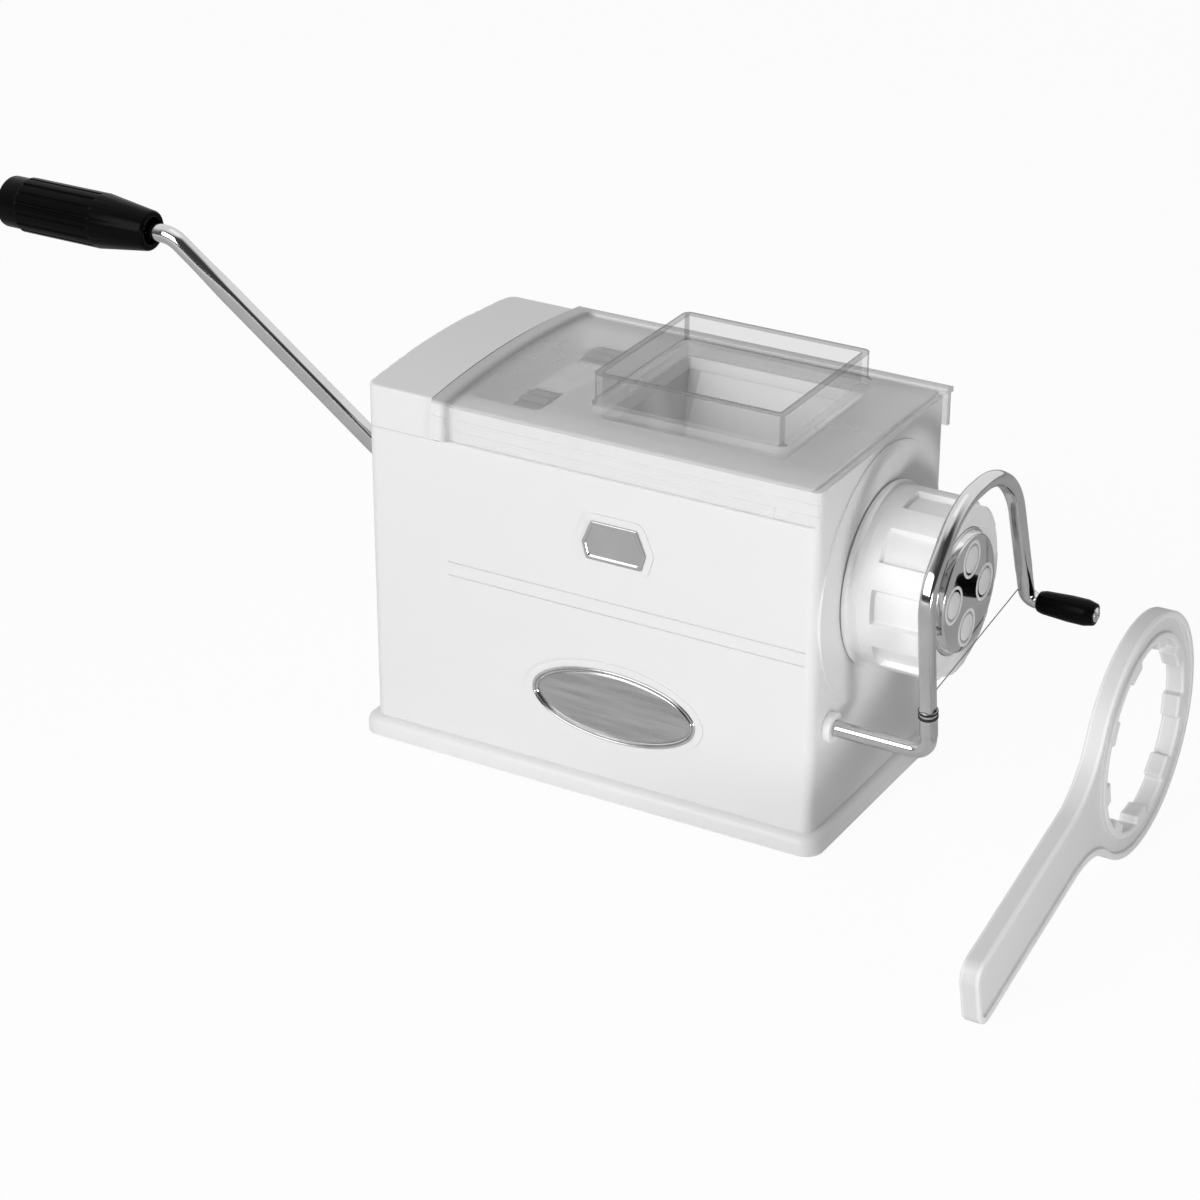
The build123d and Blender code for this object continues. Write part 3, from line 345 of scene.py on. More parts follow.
white, black, metal = {"IOR": 1.46}, {"IOR": 1.45}, {"Metallic": 1.0}
recipes = {
    "bodyWhite": (mouldedPlastic(grey(0.868), grey(0.862), 0.32), white),
    "nutWhite": (mouldedPlastic(grey(0.93), grey(0.91), 0.33), white),
    "nozzleWhite": (mouldedPlastic(grey(0.82), grey(0.79), 0.35), white),
    # the second grey is the painted shade of the wrench's recessed panels
    "wrenchWhite": (panelled(grey(0.84), grey(0.74), 0.42), white),
    "hopperWhite": (mouldedPlastic(grey(0.84), grey(0.82), 0.38), white),
    "chuteWhite": (chute(grey(0.84), grey(0.82), 0.38), white),
    "gearWhite": (mouldedPlastic(grey(0.80, 0.02), grey(0.76, 0.02), 0.45), white),
    "rollerGrey": (mouldedPlastic(grey(0.42), grey(0.36), 0.40), white),
    # the lid's first two greys are painted shade, darker at the front than at the back
    "lidSmoke": (frosted(grey(0.72), grey(0.88), grey(0.90), grey(0.36), 0.34), white),
    "gripBlack": (mouldedPlastic(grey(0.003), grey(0.002), 0.24, 0.00002),
                  black | {"Specular IOR Level": 0.06}),
    "footRubber": (mouldedPlastic(grey(0.02), grey(0.013), 0.75, 0.0002), black),
    "crimpDark": (mouldedPlastic(grey(0.02), grey(0.012), 0.35), black),
    "rodChrome": (plated(grey(0.66), grey(0.60), 0.09), metal),
    "dieChrome": (plated(grey(0.68), grey(0.62), 0.06), metal),
    "badgeChrome": (plated(grey(0.66), grey(0.60), 0.10), metal),
    "badgeSatin": (brushedMetal(grey(0.56), grey(0.44), 0.30, (0.08, 1.0, 1.0)), metal),
    "steel": (brushedMetal(grey(0.56), grey(0.46), 0.28, (1.0, 0.1, 0.1)), metal),
    "wireDark": (brushedMetal(grey(0.24), grey(0.18), 0.34, (1.0, 0.1, 0.1)), metal),
    "brass": (brushedMetal((0.60, 0.44, 0.20, 1), (0.50, 0.35, 0.15, 1), 0.28, (0.1, 1, 1)), metal),
}
finish = {name: shade(name, recipe, even) for name, (recipe, even) in recipes.items()}


# Making meshes: meshFrom takes mm and makes metres

def meshFrom(name, points, faces):
    mesh = bpy.data.meshes.new(name)
    mesh.from_pydata([Vector(point) * mm for point in points], [], faces)
    shape = bmesh.new()
    shape.from_mesh(mesh)
    bmesh.ops.remove_doubles(shape, verts=shape.verts, dist=0.000001)
    bmesh.ops.recalc_face_normals(shape, faces=shape.faces)
    shape.to_mesh(mesh)
    shape.free()
    return mesh


def adopt(name, mesh, material, body, stands=(), smoothAngle=32.0):
    # Makes a mesh a piece of the object that rides on a body and stands for solids.
    piece = bpy.data.objects.new(name, mesh)
    bpy.context.collection.objects.link(piece)
    mesh.materials.clear()
    mesh.materials.append(finish[material])
    mesh.shade_smooth()
    mesh.set_sharp_from_angle(angle=math.radians(smoothAngle))
    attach(piece, body)
    if stands:
        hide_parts(*stands)
    return piece


def roundCorners(outline, radius, steps=4):
    # Each corner (x, r), or (x, r, own radius), of a closed outline becomes a small arc.
    made = []
    count = len(outline)
    for i in range(count):
        here = Vector(outline[i][:2])
        back = Vector(outline[i - 1][:2]) - here
        on = Vector(outline[(i + 1) % count][:2]) - here
        size = outline[i][2] if len(outline[i]) > 2 else radius
        half = back.angle(on) / 2
        if size == 0 or half > math.radians(86):      # no corner to speak of
            made.append(tuple(here))
            continue
        run = min(size / math.tan(half), back.length * 0.48, on.length * 0.48)      # two arcs fit on a side
        size = run * math.tan(half)
        centre = here + (back.normalized() + on.normalized()).normalized() * (size / math.sin(half))
        first, last = here + back.normalized() * run - centre, here + on.normalized() * run - centre
        swing = math.atan2(first.cross(last), first.dot(last))
        for step in range(steps + 1):
            angle = swing * step / steps
            spun = Vector((first.x * math.cos(angle) - first.y * math.sin(angle),
                           first.x * math.sin(angle) + first.y * math.cos(angle)))
            made.append(tuple(centre + spun))
    return made


def faded(value, start, end):
    # 0 up to start and 1 past end, whichever of them is the larger.
    share = min(max((value - start) / (end - start), 0.0), 1.0)
    return share * share * (3 - 2 * share)


def evenAngles(sides):
    return [2 * math.pi * side / sides for side in range(sides)]


def stripFaces(stops, rows, leaveOut=(), closed=True):
    # Faces between rings of points, each ring with as many points as rows.
    faces = []
    for stop in range(stops if closed else stops - 1):
        here, there = stop * rows, (stop + 1) % stops * rows
        for row in range(rows):
            after = (row + 1) % rows
            if row not in leaveOut:
                faces.append((here + row, here + after, there + after, there + row))
    return faces


def lathe(name, outline, y, z, angles, reshape=None):
    # Turns a closed outline of (x, radius) round an axis along X. reshape(x, r, angle) may move a point.
    points = []
    for angle in angles:
        for x, r in outline:
            r = reshape(x, r, angle) if reshape else r
            points.append((x, y + r * math.cos(angle), z + r * math.sin(angle)))
    rows = len(outline)
    onAxis = [row for row in range(rows) if not (outline[row][1] > 0 or outline[(row + 1) % rows][1] > 0)]
    return meshFrom(name, points, stripFaces(len(angles), rows, onAxis))


def straightRun(start, end, step):
    count = max(1, int((end - start).length / step))
    return [start.lerp(end, k / count) for k in range(1, count + 1)]


def bentPath(corners, bends, step=2.0):
    # Straight runs joined by arcs, as points about a step apart.
    stops = [Vector(corner) for corner in corners]
    path = [stops[0]]
    for i, radius in enumerate(bends):
        corner = stops[i + 1]
        back, on = (stops[i] - corner).normalized(), (stops[i + 2] - corner).normalized()
        half = back.angle(on) / 2
        run = radius / math.tan(half)
        centre = corner + (back + on).normalized() * (radius / math.sin(half))
        first, last = corner + back * run - centre, corner + on * run - centre
        path += straightRun(path[-1], centre + first, step)
        arcs = max(4, int(radius * first.angle(last) / step * 1.5))      # closer together on an arc
        for k in range(1, arcs + 1):
            path.append(centre + first.slerp(last, k / arcs) * radius)
    return path + straightRun(path[-1], stops[-1], step)


def rodAlong(name, path, radius, sides=28, flatness=None, across=(1, 0, 0)):
    # A rod on a path. flatness(share of length) runs from 0, round, to 1, flat sided.
    points = []
    lengths = [0.0]
    for a, b in zip(path, path[1:]):
        lengths.append(lengths[-1] + (b - a).length)
    side = Vector(across)
    for i, here in enumerate(path):
        along = (path[min(i + 1, len(path) - 1)] - path[max(i - 1, 0)]).normalized()
        side = (side - along * side.dot(along)).normalized()
        up = along.cross(side)
        flat = flatness(lengths[i] / lengths[-1]) if flatness else 0.0
        power = 2.0 + 3.0 * flat                      # 2 gives a circle, more a rounded square
        for k in range(sides):
            c, s = math.cos(2 * math.pi * k / sides), math.sin(2 * math.pi * k / sides)
            reach = radius * (1 - 0.06 * flat) / (abs(c) ** power + abs(s) ** power) ** (1 / power)
            points.append(here + side * c * reach * (1 - 0.10 * flat) + up * s * reach)
    faces = stripFaces(len(path), sides, closed=False)
    faces.append(tuple(range(sides)))
    faces.append(tuple((len(path) - 1) * sides + k for k in range(sides)))
    return meshFrom(name, points, faces)


def sweepOval(name, profile, halfWidth, halfHeight, x, y, z, sides=160, scaled=False):
    # Carries a profile round an ellipse on the front face, facing -Y. Its points are (inset, height), or
    # where scaled (share of the ellipse, height).
    points = []
    for angle in evenAngles(sides):
        c, s = math.cos(angle), math.sin(angle)
        out = Vector((c / halfWidth, s / halfHeight)).normalized()
        for inset, height in profile:
            if scaled:
                across, up = halfWidth * c * inset, halfHeight * s * inset
            else:
                across, up = halfWidth * c - out.x * inset, halfHeight * s - out.y * inset
            points.append((x + across, y - height, z + up))
    return meshFrom(name, points, stripFaces(sides, len(profile)))


# Geometry Nodes trees

def newTree(name, inputs):
    tree = bpy.data.node_groups.new(name, "GeometryNodeTree")
    for label, kind in inputs:
        tree.interface.new_socket(name=label, in_out="INPUT", socket_type="NodeSocket" + kind)
    tree.interface.new_socket(name="Geometry", in_out="OUTPUT", socket_type="NodeSocketGeometry")
    given = tree.nodes.new("NodeGroupInput")
    return tree, {label: Wire(tree, given.outputs[label]) for label, kind in inputs}


def closeTree(shape, material):
    solid = shape.node("GeometryNodeRealizeInstances", None, {"Geometry": shape})
    painted = solid.node("GeometryNodeSetMaterial", None, {"Geometry": solid, "Material": material})
    painted.node("NodeGroupOutput", None, {"Geometry": painted})


def aroundTree():
    # Copies of a shape turned round an axis along X.
    tree, given = newTree("aroundAxis", [("Geometry", "Geometry"), ("Count", "Int"), ("Centre", "Vector"),
                                         ("Start Angle", "Float"), ("Finish", "Material")])
    line = given["Count"].node("GeometryNodeMeshLine", {"mode": "OFFSET"}, {
        "Count": given["Count"], "Start Location": given["Centre"], "Offset": (0, 0, 0)})
    index = line.node("GeometryNodeInputIndex")
    turn = index * (2 * math.pi) / given["Count"] + given["Start Angle"]
    spin = turn.node("ShaderNodeCombineXYZ", None, {"X": turn})
    copies = line.node("GeometryNodeInstanceOnPoints", None, {
        "Points": line, "Instance": given["Geometry"], "Rotation": spin})
    closeTree(copies, given["Finish"])
    return tree


def placesTree():
    # A copy of a shape at every point of a second mesh.
    tree, given = newTree("atPlaces", [("Geometry", "Geometry"), ("Places", "Object"),
                                       ("Finish", "Material")])
    places = given["Places"]
    places = places.node("GeometryNodeObjectInfo", None, {"Object": places}, out="Geometry")
    copies = places.node("GeometryNodeInstanceOnPoints", None, {
        "Points": places, "Instance": given["Geometry"]})
    closeTree(copies, given["Finish"])
    return tree


def screwTree():
    # A helical flight round an axis along X.
    tree, given = newTree("helixFlight", [("Geometry", "Geometry"), ("Turns", "Float"), ("Length", "Float"),
                                          ("Inner Radius", "Float"), ("Outer Radius", "Float"),
                                          ("Thickness", "Float"), ("Place", "Vector"),
                                          ("Finish", "Material")])
    middle = (given["Inner Radius"] + given["Outer Radius"]) * 0.5
    line = middle.node("GeometryNodeCurveSpiral", None, {
        "Resolution": 48, "Rotations": given["Turns"], "Start Radius": middle, "End Radius": middle,
        "Height": given["Length"]})
    upright = line.node("GeometryNodeSetCurveNormal", {"mode": "Z_UP"}, {"Curve": line})
    blade = line.node("GeometryNodeCurvePrimitiveQuadrilateral", None, {
        "Width": given["Outer Radius"] - given["Inner Radius"], "Height": given["Thickness"]})
    flight = upright.node("GeometryNodeCurveToMesh", None, {
        "Curve": upright, "Profile Curve": blade, "Fill Caps": True})
    laid = flight.node("GeometryNodeTransform", None, {
        "Geometry": flight, "Translation": given["Place"], "Rotation": (0, math.pi / 2, 0)})
    closeTree(laid, given["Finish"])
    return tree


def grown(name, tree, mesh, **inputs):
    # Runs a tree on a mesh and keeps the result as a plain mesh. Inputs are named without their spaces.
    maker = bpy.data.objects.new(name, mesh)
    bpy.context.collection.objects.link(maker)
    modifier = maker.modifiers.new(name, "NODES")
    modifier.node_group = tree
    for socket in tree.interface.items_tree:
        label = socket.name.replace(" ", "")
        if socket.in_out == "INPUT" and label in inputs:
            modifier[socket.identifier] = inputs[label]
    made = bpy.data.meshes.new_from_object(maker.evaluated_get(bpy.context.evaluated_depsgraph_get()))
    maker.modifiers.remove(modifier)
    bpy.data.objects.remove(maker)
    return made


# Pieces that keep the solid's own form, most of them with softened edges

edges = {    # finish, and edge radius in mm
    "base_tray": ("bodyWhite", 0.0), "main_housing": ("bodyWhite", 0.35),
    "gear_housing": ("bodyWhite", 0.35), "gear_cap": ("bodyWhite", 0.4),
    "lid": ("lidSmoke", 0.3), "hopper": ("chuteWhite", 0.4), "barrel": ("hopperWhite", 0.0),
    "cutter_bush": ("nutWhite", 0.4), "cutter_socket": ("rodChrome", 0.2), "crimp_rings": ("crimpDark", 0.1),
    "cutter_wire": ("wireDark", 0.0), "knob_pin": ("steel", 0.0), "cutter_retainer": ("steel", 0.0),
    "grip_keeper": ("steel", 0.0), "upper_badge": ("badgeChrome", 0.2), "wrench": ("wrenchWhite", 0.6),
    "bearing_plate": ("steel", 0.2), "shaft_bushes": ("brass", 0.2), "axle_bushes": ("brass", 0.2),
    "thrust_washer": ("brass", 0.1), "drive_shaft": ("steel", 0.3),
    "roller_axle_front": ("steel", 0.2), "roller_axle_back": ("steel", 0.2),
    "feed_roller_front": ("rollerGrey", 0.2), "feed_roller_back": ("rollerGrey", 0.2),
    "drive_pinion": ("gearWhite", 0.0),
    "roller_gear_front": ("gearWhite", 0.0), "roller_gear_back": ("gearWhite", 0.0),
}
softening = {"flat": 0.05, "sharp": 38.0, "segments": 2}     # degrees: merged below, bevelled above


def softened(node, material, edge):
    source = nodes[node]
    mesh = source.data.copy()
    shape = bmesh.new()
    shape.from_mesh(mesh)
    bmesh.ops.remove_doubles(shape, verts=shape.verts, dist=0.000002)
    bmesh.ops.dissolve_limit(shape, angle_limit=math.radians(softening["flat"]), verts=shape.verts,
                             edges=shape.edges)
    shape.to_mesh(mesh)
    shape.free()
    piece = adopt(node + "_dressed", mesh, material, source["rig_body"], [node])
    if edge:
        bevel = piece.modifiers.new("softEdges", "BEVEL")
        bevel.width = edge * mm
        bevel.segments = softening["segments"]
        bevel.limit_method = "ANGLE"
        bevel.angle_limit = math.radians(softening["sharp"])
    even = piece.modifiers.new("evenNormals", "WEIGHTED_NORMAL")
    even.keep_sharp = True
    even.weight = 100


for node, (material, edge) in edges.items():
    softened(node, material, edge)
print("softened solids:", len(edges))


# Ring nut, with its grip pockets

axisHeight = 112.8                     # mm, of the screw, nut and die
endFace = 114.0                        # mm along X
ringNut = {    # radii, places out from the end face, and the rest in mm and degrees
    "flange": 42.5, "waist": 40.2, "body": 41.0, "front": 39.3, "lip": 28.9, "bore": 34.4,
    "back": 1.2, "flangeEnd": 4.1, "waistStart": 4.6, "waistEnd": 5.8, "bodyStart": 8.2,
    "bodyEnd": 36.6, "face": 39.0, "lipDepth": 3.0,
    "pockets": 9, "pocketAngle": 22.0, "pocketFloor": 38.3, "pocketStart": 15.0,
    "turned": 15.0,                    # from the first pocket's middle back to level
    "wallWidth": 0.9,                  # width of a pocket's slanted wall
}


def nutAngles():
    # Close together at the pockets' walls, far apart between them.
    half, wall = math.radians(ringNut["pocketAngle"] / 2), ringNut["wallWidth"] / ringNut["body"]
    pitch, turned = 2 * math.pi / ringNut["pockets"], math.radians(ringNut["turned"])
    spots = [0.0, half * 0.35, half * 0.7]
    spots += [half + wall * share for share in (-0.6, -0.35, -0.12, 0.12, 0.35, 0.6)]
    spots += [half + wall + (pitch / 2 - half - wall) * share for share in (0.3, 0.65, 1.0)]
    angles = set()
    for pocket in range(ringNut["pockets"]):
        for spot in spots:
            angles.update((round((turned + pocket * pitch + spot) % (2 * math.pi), 7),
                           round((turned + pocket * pitch - spot) % (2 * math.pi), 7)))
    return sorted(angles)


def nutPocket(x, r, angle):
    n = ringNut
    pitch, turned = 2 * math.pi / n["pockets"], math.radians(n["turned"])
    off = abs((angle - turned + pitch / 2) % pitch - pitch / 2) - math.radians(n["pocketAngle"] / 2)
    wall = n["wallWidth"] / n["body"]
    across = faded(off, wall / 2, -wall / 2)
    start = endFace + n["pocketStart"]
    along = faded(x, start - n["wallWidth"] / 2, start + n["wallWidth"] / 2)
    return r - max(r - n["pocketFloor"], 0.0) * across * along


def makeNut():
    n = ringNut
    outline = [(n["back"], n["bore"]), (n["back"], n["flange"], 1.3), (n["flangeEnd"], n["flange"], 1.3),
               (n["waistStart"], n["waist"], 0.5), (n["waistEnd"], n["waist"], 0.8),
               (n["bodyStart"], n["body"], 2.0)]
    outline += [(n["pocketStart"] + n["wallWidth"] * share, n["body"], 0)
                for share in (-0.7, -0.45, -0.2, 0.0, 0.2, 0.45, 0.7)]
    outline += [(n["bodyEnd"], n["body"], 1.5), (n["face"], n["front"], 1.4), (n["face"], n["lip"], 0.5),
                (n["face"] - n["lipDepth"], n["lip"], 0.3), (n["face"] - n["lipDepth"], n["bore"], 0.3)]
    outline = [(endFace + corner[0], *corner[1:]) for corner in outline]
    mesh = lathe("ring_nut", roundCorners(outline, 0.3), 0, axisHeight, nutAngles(), nutPocket)
    adopt("nutBody", mesh, "nutWhite", "nut", ["ring_nut"])


makeNut()
print("nut made")


# Die with its nozzles

die = {    # radii, and places out from the end face, in mm
    "seat": 32.0, "flange": 33.4, "flangeFace": 36.0, "rim": 28.6, "rimFace": 39.6, "wall": 27.6,
    "plateau": 26.8, "face": 43.0, "middle": 4.0,
}
nozzle = {    # the same, and degrees
    "count": 4, "circle": 16.1, "turn": -3.5, "radius": 8.8, "face": 43.2, "bore": 7.2, "core": 6.1,
    "start": 42.02,
}


def makeDie():
    d, n = die, nozzle
    outline = [(d["seat"], 0, 0), (d["seat"], d["flange"], 0.4), (d["flangeFace"], d["flange"], 0.4),
               (d["flangeFace"], d["rim"], 0.2), (d["rimFace"], d["rim"], 0.7),
               (d["rimFace"], d["wall"], 0.5), (d["face"], d["plateau"], 1.1), (d["face"], d["middle"], 0),
               (d["face"], 0, 0)]
    outline = [(endFace + x, r, corner) for x, r, corner in outline]
    mesh = lathe("die_disc", roundCorners(outline, 0.3), 0, axisHeight, evenAngles(144))
    adopt("dieFace", mesh, "dieChrome", "die_set", ["die_disc"])
    low, high = endFace + n["start"], endFace + n["face"]
    ring = [(low, n["bore"], 0), (low, n["radius"], 0), (high, n["radius"], 0.35), (high, n["bore"], 0.3)]
    core = [(low, 0, 0), (low, n["core"], 0), (high, n["core"], 0.3), (high, 0, 0)]
    around = aroundTree()
    for name, outline, stands in (("nozzleRings", ring, "nozzle_inserts"),
                                  ("nozzleCores", core, "nozzle_cores")):
        one = lathe(name, roundCorners(outline, 0.1), n["circle"], 0, evenAngles(56))
        four = grown(name, around, one, Count=n["count"], Centre=(0, 0, axisHeight * mm),
                     StartAngle=math.radians(n["turn"]), Finish=finish["nozzleWhite"])
        adopt(name, four, "nozzleWhite", "die_set", [stands])


makeDie()
print("die and nozzles made")


# Wire cutter: rod, bow and knob

cutter = {    # mm
    "pivot": (-47.7, 57.8), "reach": 48.6, "radius": 3.7, "bend": 8.0, "rodStart": 21.4,
    "joinAt": 19.0, "joinGap": 0.1,                           # where the bow begins above the pivot
    "lean": -0.1312,                                          # how far the first leg goes sideways per mm up
    "corners": ((-10.45, 79.64), (17.16, 110.33), (72.6, 110.66), (100.7, 31.22)),     # from the pivot
    "bends": (24.2, 39.8, 43.8, 5.1),
    "flatEnd": (0.36, 0.24), "flatAgain": (0.62, 0.68), "flatLast": (0.92, 0.87),      # shares of its length
}
knob = {    # mm
    "start": 5.7, "gap": 0.3, "length": 27.5, "radius": 6.1, "neck": 4.6, "bore": 2.7, "screw": 3.5,
}


def legPoint(height):
    y, z = cutter["pivot"]
    return (endFace + cutter["reach"], y + cutter["lean"] * height, z + height)


def bowFlatness(share):
    second = faded(share, *cutter["flatAgain"]) * faded(share, *cutter["flatLast"])
    return max(faded(share, *cutter["flatEnd"]), second)


def makeCutter():
    c, k = cutter, knob
    y, z = c["pivot"]
    x = endFace + c["reach"]
    rod = bentPath([(endFace - c["rodStart"], y, z), (x, y, z), legPoint(c["joinAt"])], [c["bend"]])
    adopt("cutterRod", rodAlong("cutterRod", rod, c["radius"], across=(0, 0, 1)), "rodChrome", "cutter",
          ["cutter_rod"])
    corners = [legPoint(c["joinAt"] + c["joinGap"])] + [(x, y + dy, z + dz) for dy, dz in c["corners"]]
    knobY, knobZ = corners[-1][1:]
    corners.append((x + k["start"] - k["gap"], knobY, knobZ))
    bow = rodAlong("cutterBow", bentPath(corners, c["bends"]), c["radius"], 32, bowFlatness)
    adopt("cutterBow", bow, "rodChrome", "cutter", ["cutter_bow"], 40)
    start = x + k["start"]
    end = start + k["length"]
    body = [(start, k["bore"]), (start, k["neck"], 1.2), (start + 3, 5.4, 6), (start + 15, k["radius"], 20),
            (end - 4.5, k["radius"], 6), (end, k["neck"] + 0.4, 1.4), (end, 3.9, 0.4),
            (end - 1.2, 3.7, 0.3), (end - 1.2, k["bore"])]
    mesh = lathe("knobGrip", roundCorners(body, 0.2, 6), knobY, knobZ, evenAngles(64))
    adopt("knobGrip", mesh, "gripBlack", "knob", ["cutter_knob"])
    head = [(end - 1.0, 0, 0), (end - 1.0, k["screw"], 0.2), (end + 0.4, k["screw"], 0.5),
            (end + 1.2, 1.9, 0.6), (end + 1.2, 1.2, 0.2), (end + 0.5, 1.0, 0.2), (end + 0.5, 0, 0)]
    mesh = lathe("knobScrew", roundCorners(head, 0.1), knobY, knobZ, evenAngles(40))
    adopt("knobScrew", mesh, "rodChrome", "cutter", ["knob_screw"])


makeCutter()
print("cutter made")


# Crank and grip

crank = {    # mm and degrees
    "rodStart": 20.7, "reach": 34.0, "run": 110.0, "throw": 97.0, "turned": 11.0,
    "radius": 4.4, "bend": 13.0, "gripGap": 5.0, "gripLength": 85.0,
    "flatStart": (0.12, 0.16), "flatEnd": (0.62, 0.50),       # shares of the rod's length
}
grip = {    # mm
    "radius": 13.4, "rearRadius": 12.5, "nose": 9.6, "noseLength": 28.0, "noseBore": 6.6, "recess": 4.0,
    "bore": 4.5, "wall": 4.6, "capHole": 8.7, "cap": 8.55,
    "flutes": 16, "fluteDepth": 0.75, "fluteWidth": 1.5, "plainRear": 12.0,
}


def rodFlatness(share):
    return faded(share, *crank["flatStart"]) * faded(share, *crank["flatEnd"])


def makeCrank():
    c, g = crank, grip
    turn = math.radians(c["turned"])
    y, z = -c["throw"] * math.sin(turn), axisHeight + c["throw"] * math.cos(turn)
    arm = -endFace - c["reach"] - c["run"]
    nose = arm - c["gripGap"]
    end = nose - c["gripLength"]
    corners = [(-endFace + c["rodStart"], 0, axisHeight), (-endFace - c["reach"], 0, axisHeight),
               (arm + c["bend"] / 2, y, z), (end + g["wall"], y, z)]
    path = bentPath(corners, [c["bend"], c["bend"]])
    rod = rodAlong("crankRod", path, c["radius"], 32, rodFlatness, (0, 1, 0))
    adopt("crankRod", rod, "rodChrome", "crank", ["crank_rod"], 40)

    rear = end + g["plainRear"]
    shoulder = nose - g["noseLength"]
    outline = [(nose, g["noseBore"], 0.8), (nose, g["nose"], 1.6), (shoulder, g["radius"], 3.0)]
    outline += [(rear + (shoulder - rear) * share, g["radius"], 0) for share in
                (0.97, 0.95, 0.93, 0.8, 0.5, 0.2, 0.05, 0.02)]
    floor, keep = end + g["wall"], nose - g["recess"]
    outline += [(rear, g["radius"], 0.3), (rear - 0.8, g["rearRadius"], 0.4), (end, g["rearRadius"], 3.6),
                (end, g["capHole"], 0.3), (floor, g["capHole"], 0.2), (floor, g["bore"], 0),
                (keep, g["bore"], 0.2), (keep, g["noseBore"], 0.6)]

    def flute(x, r, angle):
        pitch = 2 * math.pi / g["flutes"]
        off = abs((angle + pitch / 2) % pitch - pitch / 2) * g["radius"] / (g["fluteWidth"] / 2)
        along = faded(x, rear - 1, rear + 0.5) * faded(x, shoulder - 0.5, shoulder - 2.5)
        return r - g["fluteDepth"] * faded(off, 1.3, 0.3) * along if r > g["rearRadius"] else r
    mesh = lathe("crankGrip", roundCorners(outline, 0.3, 6), y, z, evenAngles(g["flutes"] * 12), flute)
    adopt("gripBody", mesh, "gripBlack", "grip", ["crank_grip"], 28)
    cap = [(end + 2.4, 0, 0), (end + 2.4, g["cap"], 0), (end + 0.1, g["cap"], 0.6), (end - 1.1, 4.3, 2.0),
           (end - 1.1, 0, 0)]
    adopt("gripCap", lathe("gripCap", roundCorners(cap, 0.2), y, z, evenAngles(64)), "gripBlack", "grip",
          ["grip_end_cap"])


makeCrank()
print("crank made")


# Oval badge, a bare plate in a double rim

oval = {    # mm
    "x": 14.5, "z": 47.4, "halfWidth": 41.95, "halfHeight": 17.75, "front": -62.5, "rim": 2.75,
    "bead": ((0.0, -1.8), (0.0, 0.7), (0.25, 1.15), (0.7, 1.3), (1.0, 1.05), (1.15, 0.55), (1.35, 0.3),
             (1.6, 0.55), (1.8, 1.0), (2.15, 1.15), (2.5, 0.85), (2.7, 0.3), (2.7, -1.8)),
    "plate": ((1.0, -1.8), (1.0, 0.2), (0.985, 0.4), (0.95, 0.52), (0.8, 0.66), (0.5, 0.78), (0, 0.84),
              (0, -1.8)),
}


def makeOval():
    o = oval
    rim = sweepOval("ovalRim", o["bead"], o["halfWidth"], o["halfHeight"], o["x"], o["front"], o["z"])
    adopt("ovalRim", rim, "badgeChrome", "machine", ["oval_rim"], 60)
    field = sweepOval("ovalPlate", o["plate"], o["halfWidth"] - o["rim"], o["halfHeight"] - o["rim"],
                      o["x"], o["front"], o["z"], scaled=True)
    adopt("ovalPlate", field, "badgeSatin", "machine", ["oval_plate"], 40)


makeOval()
print("badge made")


# Deck under the lid, with its basin, saddle and disc slots, and the raised rim of the funnel

deck = {    # mm
    "left": -78.3, "right": 110.0, "front": -60.9, "back": 63.9, "level": 176.2, "step": 2.0,
    "fold": 3.0, "frontFold": 0.3, "edge": 0.4, "border": (-70.5, -73.0),
    "lidMiddle": 178.5, "lidY": 1.6, "lidCurve": 1074.0,      # the lid's arch, less a gap
    "bowlLeft": (-71.0, -62.0), "bowlRight": (-30.0, -39.0), "bowlEnds": (49.0, 40.0), "bowlFloor": 172.0,
    "basinLeft": (-69.0, -58.0), "basinRight": (-53.0, -57.0), "basinEnds": (46.0, 35.0), "basinDepth": 5.0,
    "slotLeft": -51.4, "slotRight": -36.6, "discY": 28.5, "slotHalf": 10.7,
    "saddleX": -41.0, "saddleSides": (15.6, 2.6), "saddleEnds": (16.0, 12.0), "saddleRise": 4.0,
    # where the deck's painted shade and painted highlight lie, and their greys
    "borderTone": (-70.0, -72.0), "ridgeX": -39.0, "ridgeSides": (12.0, 8.0), "ridgeEnds": (15.0, 11.0),
    "borderGrey": 0.92, "bowlGrey": 0.93, "ridgeGrey": 0.99, "rough": 0.38,
}
funnelRim = {    # mm
    "left": -4.0, "right": 82.0, "half": 39.0, "corner": 1.2,
    "profile": ((0.0, 171.1), (1.4, 175.6), (1.9, 176.25), (2.5, 176.45), (3.6, 176.5), (3.6, 172.0)),
    "lap": 2.0,                        # how far out the deck's opening is
}


def deckHeight(x, y):
    d = deck
    out = abs(y)
    arch = d["lidMiddle"] - (y - d["lidY"]) ** 2 / d["lidCurve"]
    height = min(d["level"], arch)
    height += (arch - height) * faded(x, *d["border"])
    bowl = faded(x, *d["bowlLeft"]) * faded(x, *d["bowlRight"]) * faded(out, *d["bowlEnds"])
    down = faded(x, *d["basinLeft"]) * faded(x, *d["basinRight"]) * faded(out, *d["basinEnds"])
    up = faded(abs(x - d["saddleX"]), *d["saddleSides"]) * faded(out, *d["saddleEnds"])
    height += (d["bowlFloor"] - height) * bowl - d["basinDepth"] * down + d["saddleRise"] * up * bowl
    if y < d["front"] + 0.01:
        return height - d["frontFold"]
    edge = min(x - d["left"], d["right"] - x, d["back"] - y)
    return height - d["fold"] * (edge < 0.01)


